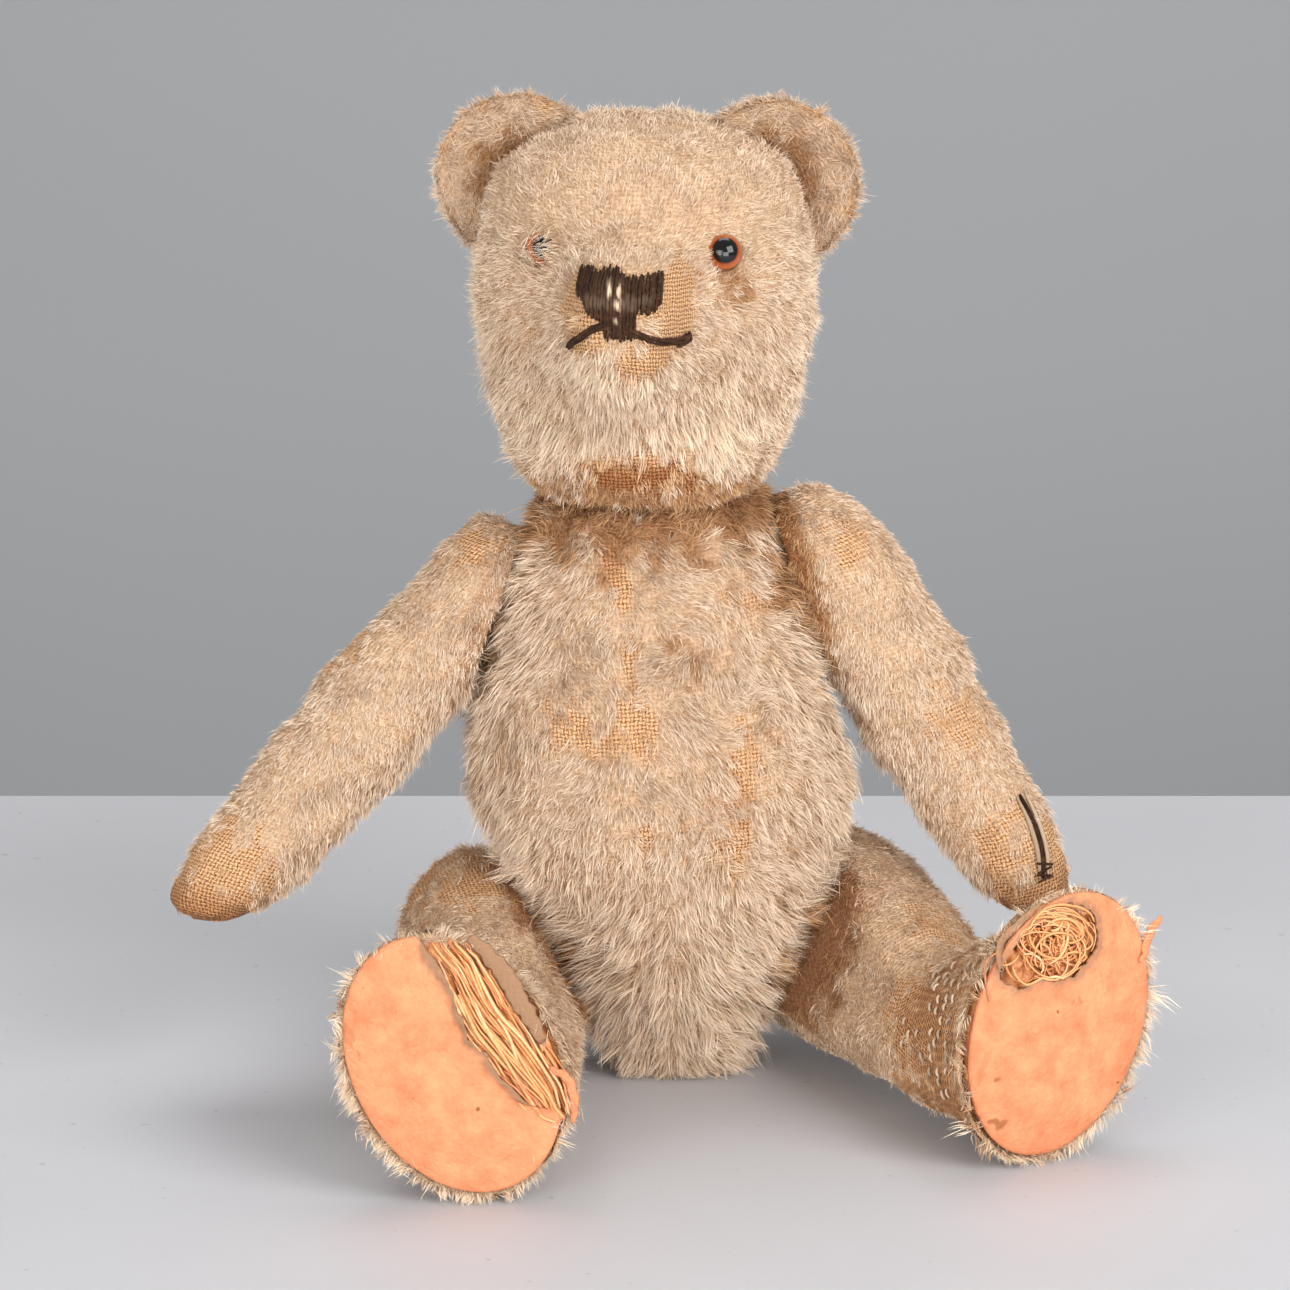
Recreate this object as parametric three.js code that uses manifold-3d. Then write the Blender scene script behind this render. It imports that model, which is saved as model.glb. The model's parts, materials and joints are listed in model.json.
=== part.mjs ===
// Threadbare teddy bear, sitting. Millimetres, +Z up, the bear faces -Y and its left side is +X.
// Each plush cover is a thin shell over a wood wool stuffing. Head, arms and legs turn on disc joints:
// a split pin runs through a washer and a disc inside the limb, and a disc and a washer inside the torso.
import * as THREE from "three";
import { mergeVertices } from "three/addons/utils/BufferGeometryUtils.js";
import Module from "manifold-3d";

const wasm = await Module();
wasm.setup();

// Driving dimensions
const GAP = 0.3; // clearance between pieces that touch on the real bear
const SKIN = 1.2; // woven backing of the plush
const FELT = 1.2; // foot pads
const DISC = 2; // hardboard disc
const WASHER = 0.6; // steel washer
const PIN_RADIUS = 0.9;
const PIN_HOLE = 1.5; // hole in the cover, discs and washers
const LEAN = THREE.MathUtils.degToRad(3.2); // the torso leans to the bear's right
const SEAT = new THREE.Vector3(5.5, 2, 0); // middle of the seat
const NECK_HEIGHT = 100;
const HEAD_TURN = THREE.MathUtils.degToRad(-6); // the head looks a little to its right
const MUZZLE_RISE = THREE.MathUtils.degToRad(9);
const MUZZLE = { width: 10.5, height: 12, length: 20, base: 28 }; // its root stands base above the neck
const ARM_LENGTH = 67; // shoulder disc to paw tip
const LEG_LENGTH = 64; // hip disc to sole
const SOLE = { width: 16.4, height: 22.8, x: 16.6, y: 1 }; // half sizes and middle of the foot pad
const EYE = { radius: 3, x: 15.2, z: 43, proud: 0.6 };
const HEAD_DEPTH = 0.93; // depth of the head's section over its width
const TORSO_DEPTH = 0.9;
const EAR = { radius: 14.4, thickness: 2.8, cup: 4.5, x: 20.5, y: 2, z: 50 };

// Outlines: half width and height up the torso and the head
const TORSO_OUTLINE = [
  [0, -3],
  [10, -0.5],
  [16, 12],
  [25.5, 30],
  [31.5, 47],
  [31, 62],
  [28, 76],
  [25, 88],
  [19, 98.5],
  [0, 103.5],
];
const HEAD_OUTLINE = [
  [0, -3],
  [17, -1],
  [22, 5],
  [25.5, 16],
  [28, 30],
  [27.5, 43],
  [24, 53],
  [14, 60],
  [0, 62.5],
];

const MATERIALS = {
  plush: { color: 0xc9ae90, roughness: 0.95, metalness: 0 },
  felt: { color: 0xf2a678, roughness: 0.95, metalness: 0 },
  wood_wool: { color: 0xe0b06a, roughness: 0.9, metalness: 0 },
  thread: { color: 0x3a2517, roughness: 0.7, metalness: 0 },
  glass: { color: 0x2a1206, roughness: 0.05, metalness: 0 },
  hardboard: { color: 0x8a6a48, roughness: 0.9, metalness: 0 },
  steel: { color: 0x8f8a82, roughness: 0.45, metalness: 1 },
};

const bear = new THREE.Group();

function piece(parent, name, geometry, material) {
  const mesh = new THREE.Mesh(geometry, new THREE.MeshStandardMaterial(MATERIALS[material]));
  mesh.name = name;
  parent.add(mesh);
  return mesh;
}

// Booleans

function solid(geometry) {
  const bare = geometry.clone();
  bare.deleteAttribute("normal");
  bare.deleteAttribute("uv");
  const merged = mergeVertices(bare, 1e-3);
  return new wasm.Manifold(
    new wasm.Mesh({
      numProp: 3,
      vertProperties: merged.attributes.position.array,
      triVerts: new Uint32Array(merged.index.array),
    }),
  );
}

function geometryOf(made) {
  const mesh = made.getMesh();
  const geometry = new THREE.BufferGeometry();
  geometry.setAttribute("position", new THREE.BufferAttribute(mesh.vertProperties, 3));
  geometry.setIndex(new THREE.BufferAttribute(mesh.triVerts, 1));
  geometry.computeVertexNormals();
  return geometry;
}

// Soft shapes: a ball whose every point is placed by a function, then pressed flat against planes. The function
// gets the turn round Z, how far down from the top the point lies, from 0 to 1, and the point on a unit ball.

function ball(place, around, along) {
  const geometry = new THREE.SphereGeometry(1, around, along);
  const points = geometry.attributes.position;
  const uv = geometry.attributes.uv;
  for (let i = 0; i < points.count; i++) {
    const turn = 2 * Math.PI * uv.getX(i);
    const unit = new THREE.Vector3().fromBufferAttribute(points, i);
    const { x, y, z } = place(turn, 1 - uv.getY(i), unit);
    points.setXYZ(i, x, y, z);
  }
  return geometry;
}

// The same shape with every point moved along its normal, inwards for a negative offset.
function offset(geometry, distance) {
  const bare = geometry.clone();
  bare.deleteAttribute("normal");
  bare.deleteAttribute("uv");
  const moved = mergeVertices(bare, 1e-3);
  moved.computeVertexNormals();
  const points = moved.attributes.position;
  const normals = moved.attributes.normal;
  const point = new THREE.Vector3();
  const normal = new THREE.Vector3();
  for (let i = 0; i < points.count; i++) {
    point.fromBufferAttribute(points, i);
    normal.fromBufferAttribute(normals, i);
    point.addScaledVector(normal, distance);
    points.setXYZ(i, point.x, point.y, point.z);
  }
  return moved;
}

// The solid of a shape drawn in by an inset, cut flat where it would pass a plane normal . p = height.
function flattened(geometry, flats, inset = 0) {
  let shape = solid(offset(geometry, -inset));
  for (const { normal, height } of flats) {
    const beyond = new THREE.BoxGeometry(200, 200, 200);
    beyond.translate(0, 0, 100);
    beyond.applyQuaternion(new THREE.Quaternion().setFromUnitVectors(new THREE.Vector3(0, 0, 1), normal));
    beyond.translate(...normal.clone().multiplyScalar(height - inset).toArray());
    shape = shape.subtract(solid(beyond));
  }
  return shape;
}

function smooth(points) {
  return new THREE.CatmullRomCurve3(points.map((p) => new THREE.Vector3(...p)), false, "centripetal");
}

// A closed outline of [half width, height] points turned into a soft shape of oval section. Points lie closer
// together at the front where crowd is above 0.
function oval(outline, depth, centre, around, along, crowd = 0) {
  const curve = smooth(outline.map(([r, z]) => [r, 0, z]));
  return ball(
    (turn, t) => {
      const { x: r, z } = curve.getPoint(1 - t);
      const angle = turn - crowd * (Math.cos(turn) - 1);
      const y = centre(z) + Math.abs(r) * depth * Math.sin(angle);
      return new THREE.Vector3(Math.abs(r) * Math.cos(angle), y, z);
    },
    around,
    along,
  );
}

// A limb along -Y from its disc at the origin, pressed flat where it lies against the torso, at x = GAP / 2.
// Each station is [distance from the disc, half height, half width, height and offset of its middle], and up
// is 1 where the joint's own Z points up the limb, or -1 where it points down.
function limb(stations, around, along, up) {
  const sizes = smooth(stations.map(([s, h, w]) => [s, h, w]));
  const middles = smooth(stations.map(([, , , m, x]) => [x, 0, m]));
  return ball(
    (turn, t) => {
      const { x: s, y: h, z: w } = sizes.getPoint(t);
      const middle = middles.getPoint(t);
      return new THREE.Vector3(middle.x + w * Math.cos(turn), -s, up * middle.z - h * Math.sin(turn));
    },
    around,
    along,
  );
}

function rod(radius, from, to, sides = 12) {
  const geometry = new THREE.CylinderGeometry(radius, radius, to - from, sides);
  geometry.rotateZ(-Math.PI / 2);
  geometry.translate((from + to) / 2, 0, 0);
  return geometry;
}

// A ring round the X axis
function ring(inner, outer, from, to) {
  const profile = [
    [inner, from],
    [outer, from],
    [outer, to],
    [inner, to],
    [inner, from],
  ];
  const geometry = new THREE.LatheGeometry(profile.map((p) => new THREE.Vector2(...p)), 12);
  geometry.rotateZ(-Math.PI / 2);
  return geometry;
}

// Distances along a joint's axis from the plane between torso and limb
const DISC_FROM = GAP / 2 + SKIN + GAP;
const DISC_TO = DISC_FROM + DISC;
const WASHER_FROM = DISC_TO + GAP;
const WASHER_TO = WASHER_FROM + WASHER;
const PIN_EYE = WASHER_TO + GAP;

// The split pin: an eye inside the limb, a shaft, and two ends curled back inside the torso.
function pinGeometry() {
  const profile = [
    [0, -WASHER_TO - 2.2],
    [PIN_RADIUS, -WASHER_TO - 2.2],
    [PIN_RADIUS, PIN_EYE],
    [2.2, PIN_EYE],
    [2.2, PIN_EYE + 1.6],
    [0, PIN_EYE + 1.6],
  ];
  const shaft = new THREE.LatheGeometry(profile.map((p) => new THREE.Vector2(...p)), 6);
  shaft.rotateZ(-Math.PI / 2);
  let pin = solid(shaft);
  for (const side of [-1, 1]) {
    const curl = new THREE.CatmullRomCurve3([
      new THREE.Vector3(-WASHER_TO - 1.6, 0, 0),
      new THREE.Vector3(-WASHER_TO - 3, 0, side * 1.6),
      new THREE.Vector3(-WASHER_TO - 2.2, 0, side * 3.4),
      new THREE.Vector3(-WASHER_TO - 1, 0, side * 3.2),
    ]);
    const section = new THREE.Shape();
    section.absarc(0, 0, 0.6, 0, 2 * Math.PI);
    const wire = new THREE.ExtrudeGeometry(section, { steps: 4, curveSegments: 2, extrudePath: curl });
    pin = pin.add(solid(wire));
  }
  return geometryOf(pin);
}

// A cover is a shell. It is open where its inside runs past one of its flats.
function cover(shape, flats, cuts, insideFlats = flats) {
  let shell = flattened(shape, flats).subtract(flattened(shape, insideFlats, SKIN));
  for (const cut of cuts) shell = shell.subtract(cut);
  return geometryOf(shell);
}

function filling(shape, flats, cuts) {
  let core = flattened(shape, flats, SKIN + 2 * GAP);
  for (const cut of cuts) core = core.subtract(cut);
  return geometryOf(core);
}

// Joints: where the pin crosses from torso to limb, the way into the limb, and the way the limb lies
const JOINTS = {
  neck: {
    at: [0, 0.5, NECK_HEIGHT],
    axis: [0, 0, 1],
    reach: [0, -1, 0],
    disc: 11,
    inTorso: 6.5,
  },
  right_shoulder: {
    at: [-24, 1, 80],
    axis: [-0.94, 0.05, 0.34],
    reach: [-0.34, -0.27, -0.9],
    disc: 8,
    inTorso: 5,
    arm: { set: 4, splay: 0.38 },
  },
  left_shoulder: {
    at: [24, 1, 85],
    axis: [0.95, 0.06, 0.29],
    reach: [0.3, -0.07, -0.95],
    disc: 8,
    inTorso: 5,
    arm: { set: 7, splay: 0.25 },
  },
  right_hip: {
    at: [-16.6, 0, 24.4],
    axis: [-0.89, -0.06, -0.45],
    reach: [-0.07, -1, 0.026],
    disc: 11,
    inTorso: 6.5,
  },
  left_hip: {
    at: [23, 4.5, 24.4],
    axis: [0.85, 0.4, -0.34],
    reach: [0.42, -0.9, 0.058],
    disc: 11,
    inTorso: 6.5,
  },
};

for (const joint of Object.values(JOINTS)) {
  joint.at = new THREE.Vector3(...joint.at);
  joint.axis = new THREE.Vector3(...joint.axis).normalize();
  const along = new THREE.Vector3(...joint.reach).negate();
  along.addScaledVector(joint.axis, -along.dot(joint.axis)).normalize();
  const up = new THREE.Vector3().crossVectors(joint.axis, along);
  joint.group = new THREE.Group();
  joint.group.position.copy(joint.at);
  joint.group.quaternion.setFromRotationMatrix(new THREE.Matrix4().makeBasis(joint.axis, along, up));
  joint.group.updateMatrix();
  bear.add(joint.group);
}

function addHardware(name, joint) {
  const { group, disc, inTorso } = joint;
  piece(group, name + "_limb_disc", ring(PIN_HOLE, disc, DISC_FROM, DISC_TO), "hardboard");
  piece(group, name + "_limb_washer", ring(PIN_HOLE, 4, WASHER_FROM, WASHER_TO), "steel");
  piece(group, name + "_torso_disc", ring(PIN_HOLE, inTorso, -DISC_TO, -DISC_FROM), "hardboard");
  piece(group, name + "_torso_washer", ring(PIN_HOLE, 4, -WASHER_TO, -WASHER_FROM), "steel");
  piece(group, name + "_pin", pinGeometry(), "steel");
}

// Room for a joint's pieces in the covers and in the stuffing, in the joint's own frame
function limbRoom(disc) {
  return solid(rod(disc + GAP, -3, WASHER_TO + 3, 14)).add(solid(rod(4, 0, PIN_EYE + 3, 10)));
}

function torsoRoom({ inTorso, group }) {
  return solid(rod(inTorso + GAP, -WASHER_TO - 4.5, 6, 14)).transform(group.matrix.elements);
}

function pinHole() {
  return solid(rod(PIN_HOLE, -4, 4, 12));
}

// Torso
function backwards(z) {
  return -1 + 3 * THREE.MathUtils.smoothstep(z, 45, 90); // the chest leans back over the seat
}

const torso = oval(TORSO_OUTLINE, TORSO_DEPTH, backwards, 20, 16);
torso.rotateY(-LEAN);
torso.translate(SEAT.x, SEAT.y, SEAT.z);
const torsoJoints = Object.values(JOINTS);
const torsoFlats = [{ normal: new THREE.Vector3(0, 0, -1), height: 0 }];
for (const { at, axis } of torsoJoints) {
  torsoFlats.push({ normal: axis, height: at.dot(axis) - GAP / 2 });
}

const torsoHoles = torsoJoints.map((joint) => pinHole().transform(joint.group.matrix.elements));
piece(bear, "torso_skin", cover(torso, torsoFlats, torsoHoles), "plush");
piece(bear, "torso_stuffing", filling(torso, torsoFlats, torsoJoints.map(torsoRoom)), "wood_wool");

// Arms: round at the shoulder, tapering to the wrist and a rounded paw. The arm's middle stands off from the
// torso by set at the shoulder, and by splay more for each millimetre down the arm.
const ARM = [
  [-14, 0, 0, 0],
  [-12.5, 7, 6.5, 0],
  [-4, 12.5, 11, 0],
  [10, 12.5, 11.8, 0],
  [28, 11.3, 11.2, 1],
  [45, 10, 10.2, 1],
  [57, 9.4, 9.2, -1],
  [ARM_LENGTH - 2, 6.2, 6, -2.5],
  [ARM_LENGTH, 0, 0, -3],
];

function armStations({ set, splay }) {
  return ARM.map(([s, h, w, middle]) => [s, h, w, middle, Math.max(2.5, set + splay * s)]);
}

// Legs: a round thigh, a slimmer ankle and a foot that stands up to the flat sole
const LEG = [
  [-19, 0, 0, 0, 9],
  [-17.5, 9, 9, 0, 9],
  [-10, 16.5, 14.5, 0, 9.5],
  [4, 18.5, 15.8, -0.5, 10],
  [24, 15.8, 14.5, -3, 10.8],
  [42, 13.5, 13.6, -6.5, 12],
  [54, 17, 15.4, -3.5, 14.4],
  [LEG_LENGTH - 2, 22.4, 17, SOLE.y - 1, SOLE.x - 0.2],
  [LEG_LENGTH + 2, 23.6, 17.3, SOLE.y, SOLE.x],
  [LEG_LENGTH + 2.2, 0, 0, SOLE.y, SOLE.x],
];

const againstTorso = { normal: new THREE.Vector3(-1, 0, 0), height: -GAP / 2 };

for (const side of ["right", "left"]) {
  const shoulder = JOINTS[side + "_shoulder"];
  const arm = limb(armStations(shoulder.arm), 14, 13, side === "left" ? -1 : 1);
  const stuffing = filling(arm, [againstTorso], [limbRoom(shoulder.disc)]);
  piece(shoulder.group, side + "_arm_skin", cover(arm, [againstTorso], [pinHole()]), "plush");
  piece(shoulder.group, side + "_arm_stuffing", stuffing, "wood_wool");
}

// A foot pad in its joint's own x and z, where up is 1 if z points up the foot and -1 if it points down. The
// right pad has come away along its inner edge, and the left one has a hole near the toe.
function padGeometry(side, up) {
  const shape = new THREE.Shape();
  const { width, height } = SOLE;
  if (side === "right") {
    const toe = up * 0.64 * Math.PI; // the torn edge runs from here
    const heel = -up * 0.7 * Math.PI; // down the inner side to here
    shape.absellipse(0, 0, width, height, toe, heel, up > 0);
    const end = [width * Math.cos(toe), height * Math.sin(toe)];
    shape.bezierCurveTo(-0.5 * width, -up * 0.2 * height, -0.1 * width, up * 0.45 * height, ...end);
  } else {
    shape.absellipse(0, 0, width, height, 0, 2 * Math.PI);
    const hole = new THREE.Path();
    hole.absellipse(-0.34 * width, up * 0.5 * height, 0.44 * width, 0.3 * height, 0, 2 * Math.PI);
    shape.holes.push(hole);
  }
  const slab = new THREE.ExtrudeGeometry(shape, { depth: FELT, bevelEnabled: false, curveSegments: 8 });
  slab.rotateX(Math.PI / 2);
  slab.translate(SOLE.x, -LEG_LENGTH - GAP, up * SOLE.y);
  return slab;
}

for (const side of ["right", "left"]) {
  const hip = JOINTS[side + "_hip"];
  const up = side === "left" ? 1 : -1;
  const leg = limb(LEG, 16, 15, up);
  const sole = { normal: new THREE.Vector3(0, -1, 0), height: LEG_LENGTH };
  const packed = { normal: sole.normal, height: LEG_LENGTH + SKIN };
  const skin = cover(leg, [againstTorso, sole], [pinHole()], [againstTorso]);
  const stuffing = filling(leg, [againstTorso, packed], [limbRoom(hip.disc)]);
  piece(hip.group, side + "_leg_skin", skin, "plush");
  piece(hip.group, side + "_leg_stuffing", stuffing, "wood_wool");
  piece(hip.group, side + "_foot_pad", padGeometry(side, up), "felt");
}

// Head: the outline, with the muzzle drawn out of its front
const headGroup = new THREE.Group();
headGroup.position.copy(JOINTS.neck.at);
headGroup.rotation.z = HEAD_TURN;
bear.add(headGroup);

function drawMuzzle(geometry) {
  const direction = new THREE.Vector3(0, -Math.cos(MUZZLE_RISE), Math.sin(MUZZLE_RISE));
  const across = new THREE.Vector3(0, Math.sin(MUZZLE_RISE), Math.cos(MUZZLE_RISE));
  const points = geometry.attributes.position;
  const point = new THREE.Vector3();
  for (let i = 0; i < points.count; i++) {
    point.fromBufferAttribute(points, i);
    if (point.y >= 0) continue;
    const height = point.dot(across) - MUZZLE.base * across.z;
    const distance = Math.hypot(point.x / MUZZLE.width, height / MUZZLE.height);
    point.addScaledVector(direction, MUZZLE.length * Math.exp(-0.69 * distance ** 3.5));
    points.setXYZ(i, point.x, point.y, point.z);
  }
  return geometry;
}

const head = drawMuzzle(oval(HEAD_OUTLINE, HEAD_DEPTH, () => 0, 22, 20, 0.45));
const onNeck = [{ normal: new THREE.Vector3(0, 0, -1), height: -GAP / 2 }];
const headClearance = flattened(head, onNeck, -GAP);

// What was made along X, stood up along Z
function upright(made) {
  return made.rotate([0, -90, 0]);
}

function largestBody(made) {
  return made.decompose().reduce((a, b) => (b.volume() > a.volume() ? b : a));
}

// Half of a cupped disc, sewn on across the top corner of the head
function earGeometry(side) {
  const { radius, thickness, cup } = EAR;
  const ear = ball(
    (turn, t, unit) => {
      const bend = cup * (1 - unit.x ** 2 - unit.z ** 2);
      return new THREE.Vector3(radius * unit.x, thickness * unit.y + bend, radius * unit.z);
    },
    14,
    10,
  );
  ear.rotateY((side * Math.PI) / 4);
  ear.translate(side * EAR.x, EAR.y, EAR.z);
  return geometryOf(largestBody(solid(ear).subtract(headClearance)));
}

// What was made along X, moved to an eye's place on the head's surface, where X faces out from it
function atEye(side, geometry) {
  const direction = new THREE.Vector3(side * 0.5, -0.84, 0.18).normalize();
  const y = -HEAD_DEPTH * Math.sqrt(27.4 ** 2 - EYE.x ** 2); // the head is 27.4 in half width at the eyes
  geometry.applyQuaternion(new THREE.Quaternion().setFromUnitVectors(new THREE.Vector3(1, 0, 0), direction));
  geometry.translate(side * EYE.x, y, EYE.z);
  return solid(geometry);
}

// A glass dome in front of the cover, and its wire shank going through it
function eyeSolid(side) {
  const dome = new THREE.SphereGeometry(EYE.radius, 10, 7);
  dome.translate(EYE.proud, 0, 0);
  return atEye(side, dome).subtract(headClearance).add(atEye(side, rod(0.5, -6, 1.5, 6)));
}

// Stitched pieces lie on the muzzle: an outline in the XZ plane, as thick as the thread
function stitched(outline) {
  const shape = new THREE.Shape(outline.map((p) => new THREE.Vector2(...p)));
  const prism = new THREE.ExtrudeGeometry(shape, { depth: 40, bevelEnabled: false });
  prism.rotateX(Math.PI / 2);
  const layer = flattened(head, onNeck, -GAP - 0.9).subtract(headClearance);
  prism.translate(0, -20, 0);
  return geometryOf(layer.intersect(solid(prism)));
}

const NOSE_OUTLINE = [
  [-6.4, 45],
  [-6.2, 39.6],
  [-2.6, 37.4],
  [-2.2, 33.8],
  [2.4, 33.8],
  [2.8, 37.4],
  [6.2, 39.8],
  [6.4, 45],
];
const MOUTH_OUTLINE = [
  [0, 33.4],
  [-9, 31],
  [-9.4, 29.8],
  [0, 32.2],
  [9.4, 29.8],
  [9, 31],
];

const shanks = [-1, 1].map((side) => atEye(side, rod(1, -7.5, 4, 8)));
const inHead = limbRoom(JOINTS.neck.disc);
const headCover = cover(head, onNeck, [upright(pinHole()), ...shanks]);
piece(headGroup, "head_skin", headCover, "plush");
piece(headGroup, "head_stuffing", filling(head, onNeck, [upright(inHead), ...shanks]), "wood_wool");
for (const [name, side] of [["right", -1], ["left", 1]]) {
  piece(headGroup, name + "_ear", earGeometry(side), "plush");
  piece(headGroup, name + "_eye", geometryOf(eyeSolid(side)), "glass");
}
piece(headGroup, "nose_stitching", stitched(NOSE_OUTLINE), "thread");
piece(headGroup, "mouth_stitching", stitched(MOUTH_OUTLINE), "thread");

for (const [name, joint] of Object.entries(JOINTS)) addHardware(name, joint);

// The origin is the middle of the bear's footprint, on the surface that it sits on.
bear.updateMatrixWorld(true);
const box = new THREE.Box3().setFromObject(bear, true);
const middle = box.getCenter(new THREE.Vector3());
bear.position.set(-middle.x, -middle.y, -box.min.z);

export default bear;
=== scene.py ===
import json
import math

import bpy
import numpy as np
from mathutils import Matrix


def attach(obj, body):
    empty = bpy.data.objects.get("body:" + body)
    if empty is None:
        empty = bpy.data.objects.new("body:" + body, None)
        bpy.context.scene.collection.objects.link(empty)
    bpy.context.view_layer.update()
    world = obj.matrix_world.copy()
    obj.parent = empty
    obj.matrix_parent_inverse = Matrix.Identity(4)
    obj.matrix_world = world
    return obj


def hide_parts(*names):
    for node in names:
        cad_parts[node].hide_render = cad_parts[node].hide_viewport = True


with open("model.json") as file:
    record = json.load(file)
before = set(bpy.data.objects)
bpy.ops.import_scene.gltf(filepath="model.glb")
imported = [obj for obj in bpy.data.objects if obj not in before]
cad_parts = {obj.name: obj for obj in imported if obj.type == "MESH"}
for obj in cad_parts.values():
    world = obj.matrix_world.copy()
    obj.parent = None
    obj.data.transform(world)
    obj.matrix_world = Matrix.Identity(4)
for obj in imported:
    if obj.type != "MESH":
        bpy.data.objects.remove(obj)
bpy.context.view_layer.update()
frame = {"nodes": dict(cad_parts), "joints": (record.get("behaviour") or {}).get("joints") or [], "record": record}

# ---------------------------------------------------------------------------------------------
# Camera: a long lens a little above the bear and square on to it, so that neither its head nor
# its feet swell. It looks at the middle of the bear, over the point between the hips that the
# bear's pattern is drawn from. All lengths here are in millimetres until a mesh is written.
# ---------------------------------------------------------------------------------------------
seat = 1000 * np.array(frame["record"]["mounts"][0]["pos_m"])
between_hips = seat - (5.5, 2, 0)
LOOK_HEIGHT, LOOK_FROM, LOOK_DOWN = 73, 900, math.radians(15)
LENS = 152.2

camera = bpy.data.objects.new("camera", bpy.data.cameras.new("camera"))
bpy.context.scene.collection.objects.link(camera)
camera.data.lens = LENS
camera.data.sensor_width = 36
camera.data.clip_start = 0.05
camera.data.clip_end = 20
camera.rotation_euler = (math.pi / 2 - LOOK_DOWN, 0, 0)
camera.location = 0.001 * (
    between_hips
    + (0, -LOOK_FROM * math.cos(LOOK_DOWN), LOOK_HEIGHT + LOOK_FROM * math.sin(LOOK_DOWN))
)
bpy.context.scene.camera = camera
bpy.context.scene.view_settings.view_transform = "Standard"


# ---------------------------------------------------------------------------------------------
# Table and wall: a painted table top of pale lilac grey whose back edge is just behind the bear,
# and a plain grey wall well behind it. Neither is part of the bear.
# ---------------------------------------------------------------------------------------------
TABLE_FRONT, TABLE_EDGE, TABLE_HALF_WIDTH, TABLE_THICKNESS = -1500, 179, 900, 60
EDGE_ROUND = 2.5
WALL_BACK, WALL_HALF_WIDTH, WALL_FOOT, WALL_TOP = 1100, 2600, -900, 1600


def plug(tree, socket, value):
    """Links a socket to value if that is a socket, and sets it otherwise."""
    if isinstance(value, bpy.types.NodeSocket):
        tree.links.new(value, socket)
    elif isinstance(value, tuple) and len(value) == 3 and socket.type == "RGBA":
        socket.default_value = (*value, 1)
    else:
        socket.default_value = value


def node(tree, kind, inputs=None, **settings):
    """One shader node with its settings and its inputs, by name."""
    made = tree.nodes.new(kind)
    for key, value in settings.items():
        setattr(made, key, value)
    for key, value in (inputs or {}).items():
        plug(tree, made.inputs[key], value)
    return made


def maths(tree, operation, *values):
    """The result of one Math node."""
    made = tree.nodes.new("ShaderNodeMath")
    made.operation = operation
    for socket, value in zip(made.inputs, values):
        plug(tree, socket, value)
    return made.outputs[0]


def mixed(tree, factor, a, b, blend="MIX"):
    """Colour a blended with colour b by factor."""
    made = node(tree, "ShaderNodeMix", data_type="RGBA", blend_type=blend)
    for index, value in ((0, factor), (6, a), (7, b)):
        plug(tree, made.inputs[index], value)
    return made.outputs[2]


def between(tree, value, low, high, to_low=0.0, to_high=1.0):
    """value carried from the range low..high to the range to_low..to_high, and held there."""
    made = node(
        tree,
        "ShaderNodeMapRange",
        {"Value": value, "From Min": low, "From Max": high, "To Min": to_low, "To Max": to_high},
    )
    return made.outputs["Result"]


def noise(tree, place, scale, detail=3.0, roughness=0.5):
    """The value of a noise texture."""
    inputs = {"Vector": place, "Scale": scale, "Detail": detail, "Roughness": roughness}
    return node(tree, "ShaderNodeTexNoise", inputs).outputs["Fac"]


def ramp(tree, factor, stops):
    """A colour ramp through (position, (r, g, b)) stops."""
    made = node(tree, "ShaderNodeValToRGB", {"Fac": factor})
    elements = made.color_ramp.elements
    while len(elements) < len(stops):
        elements.new(0.5)
    for element, (position, colour) in zip(elements, stops):
        element.position = position
        element.color = (*colour, 1)
    return made.outputs["Color"]


def new_material(name, **uniform):
    """A material, its tree and its Principled shader, with the shader's uniform values set."""
    material = bpy.data.materials.new(name)
    material.use_nodes = True
    shader = material.node_tree.nodes["Principled BSDF"]
    for socket, value in uniform.items():
        shader.inputs[socket.replace("_", " ")].default_value = value
    return material, material.node_tree, shader


def raised(tree, shader, height, distance):
    """A bump from height, at most distance millimetres deep, on the shader's normal."""
    bump = node(tree, "ShaderNodeBump", {"Height": height, "Distance": 0.001 * distance})
    tree.links.new(bump.outputs["Normal"], shader.inputs["Normal"])


def own_place(tree):
    """The Object coordinates of a material's surface, in metres."""
    return node(tree, "ShaderNodeTexCoord").outputs["Object"]


def write_mesh(name, points, faces, material):
    """A smooth object at the origin, from points in millimetres."""
    mesh = bpy.data.meshes.new(name)
    mesh.from_pydata((0.001 * np.asarray(points)).tolist(), [], faces)
    mesh.shade_smooth()
    mesh.materials.append(material)
    made = bpy.data.objects.new(name, mesh)
    bpy.context.scene.collection.objects.link(made)
    return made


def carried_along_x(profile, half_width):
    """A profile of (y, z) points carried from -half_width to half_width along X."""
    profile = np.asarray(profile, float)
    count = len(profile)
    ends = [np.column_stack([np.full(count, x), profile]) for x in (-half_width, half_width)]
    first = np.arange(count - 1)
    faces = np.column_stack([first, first + count, first + count + 1, first + 1])
    return np.vstack(ends), faces.tolist()


def carried_round(centre, radius, start, stop, steps):
    """(y, z) points on an arc from angle start to stop."""
    angle = np.linspace(start, stop, steps)
    return np.column_stack([np.cos(angle), np.sin(angle)]) * radius + centre


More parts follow.
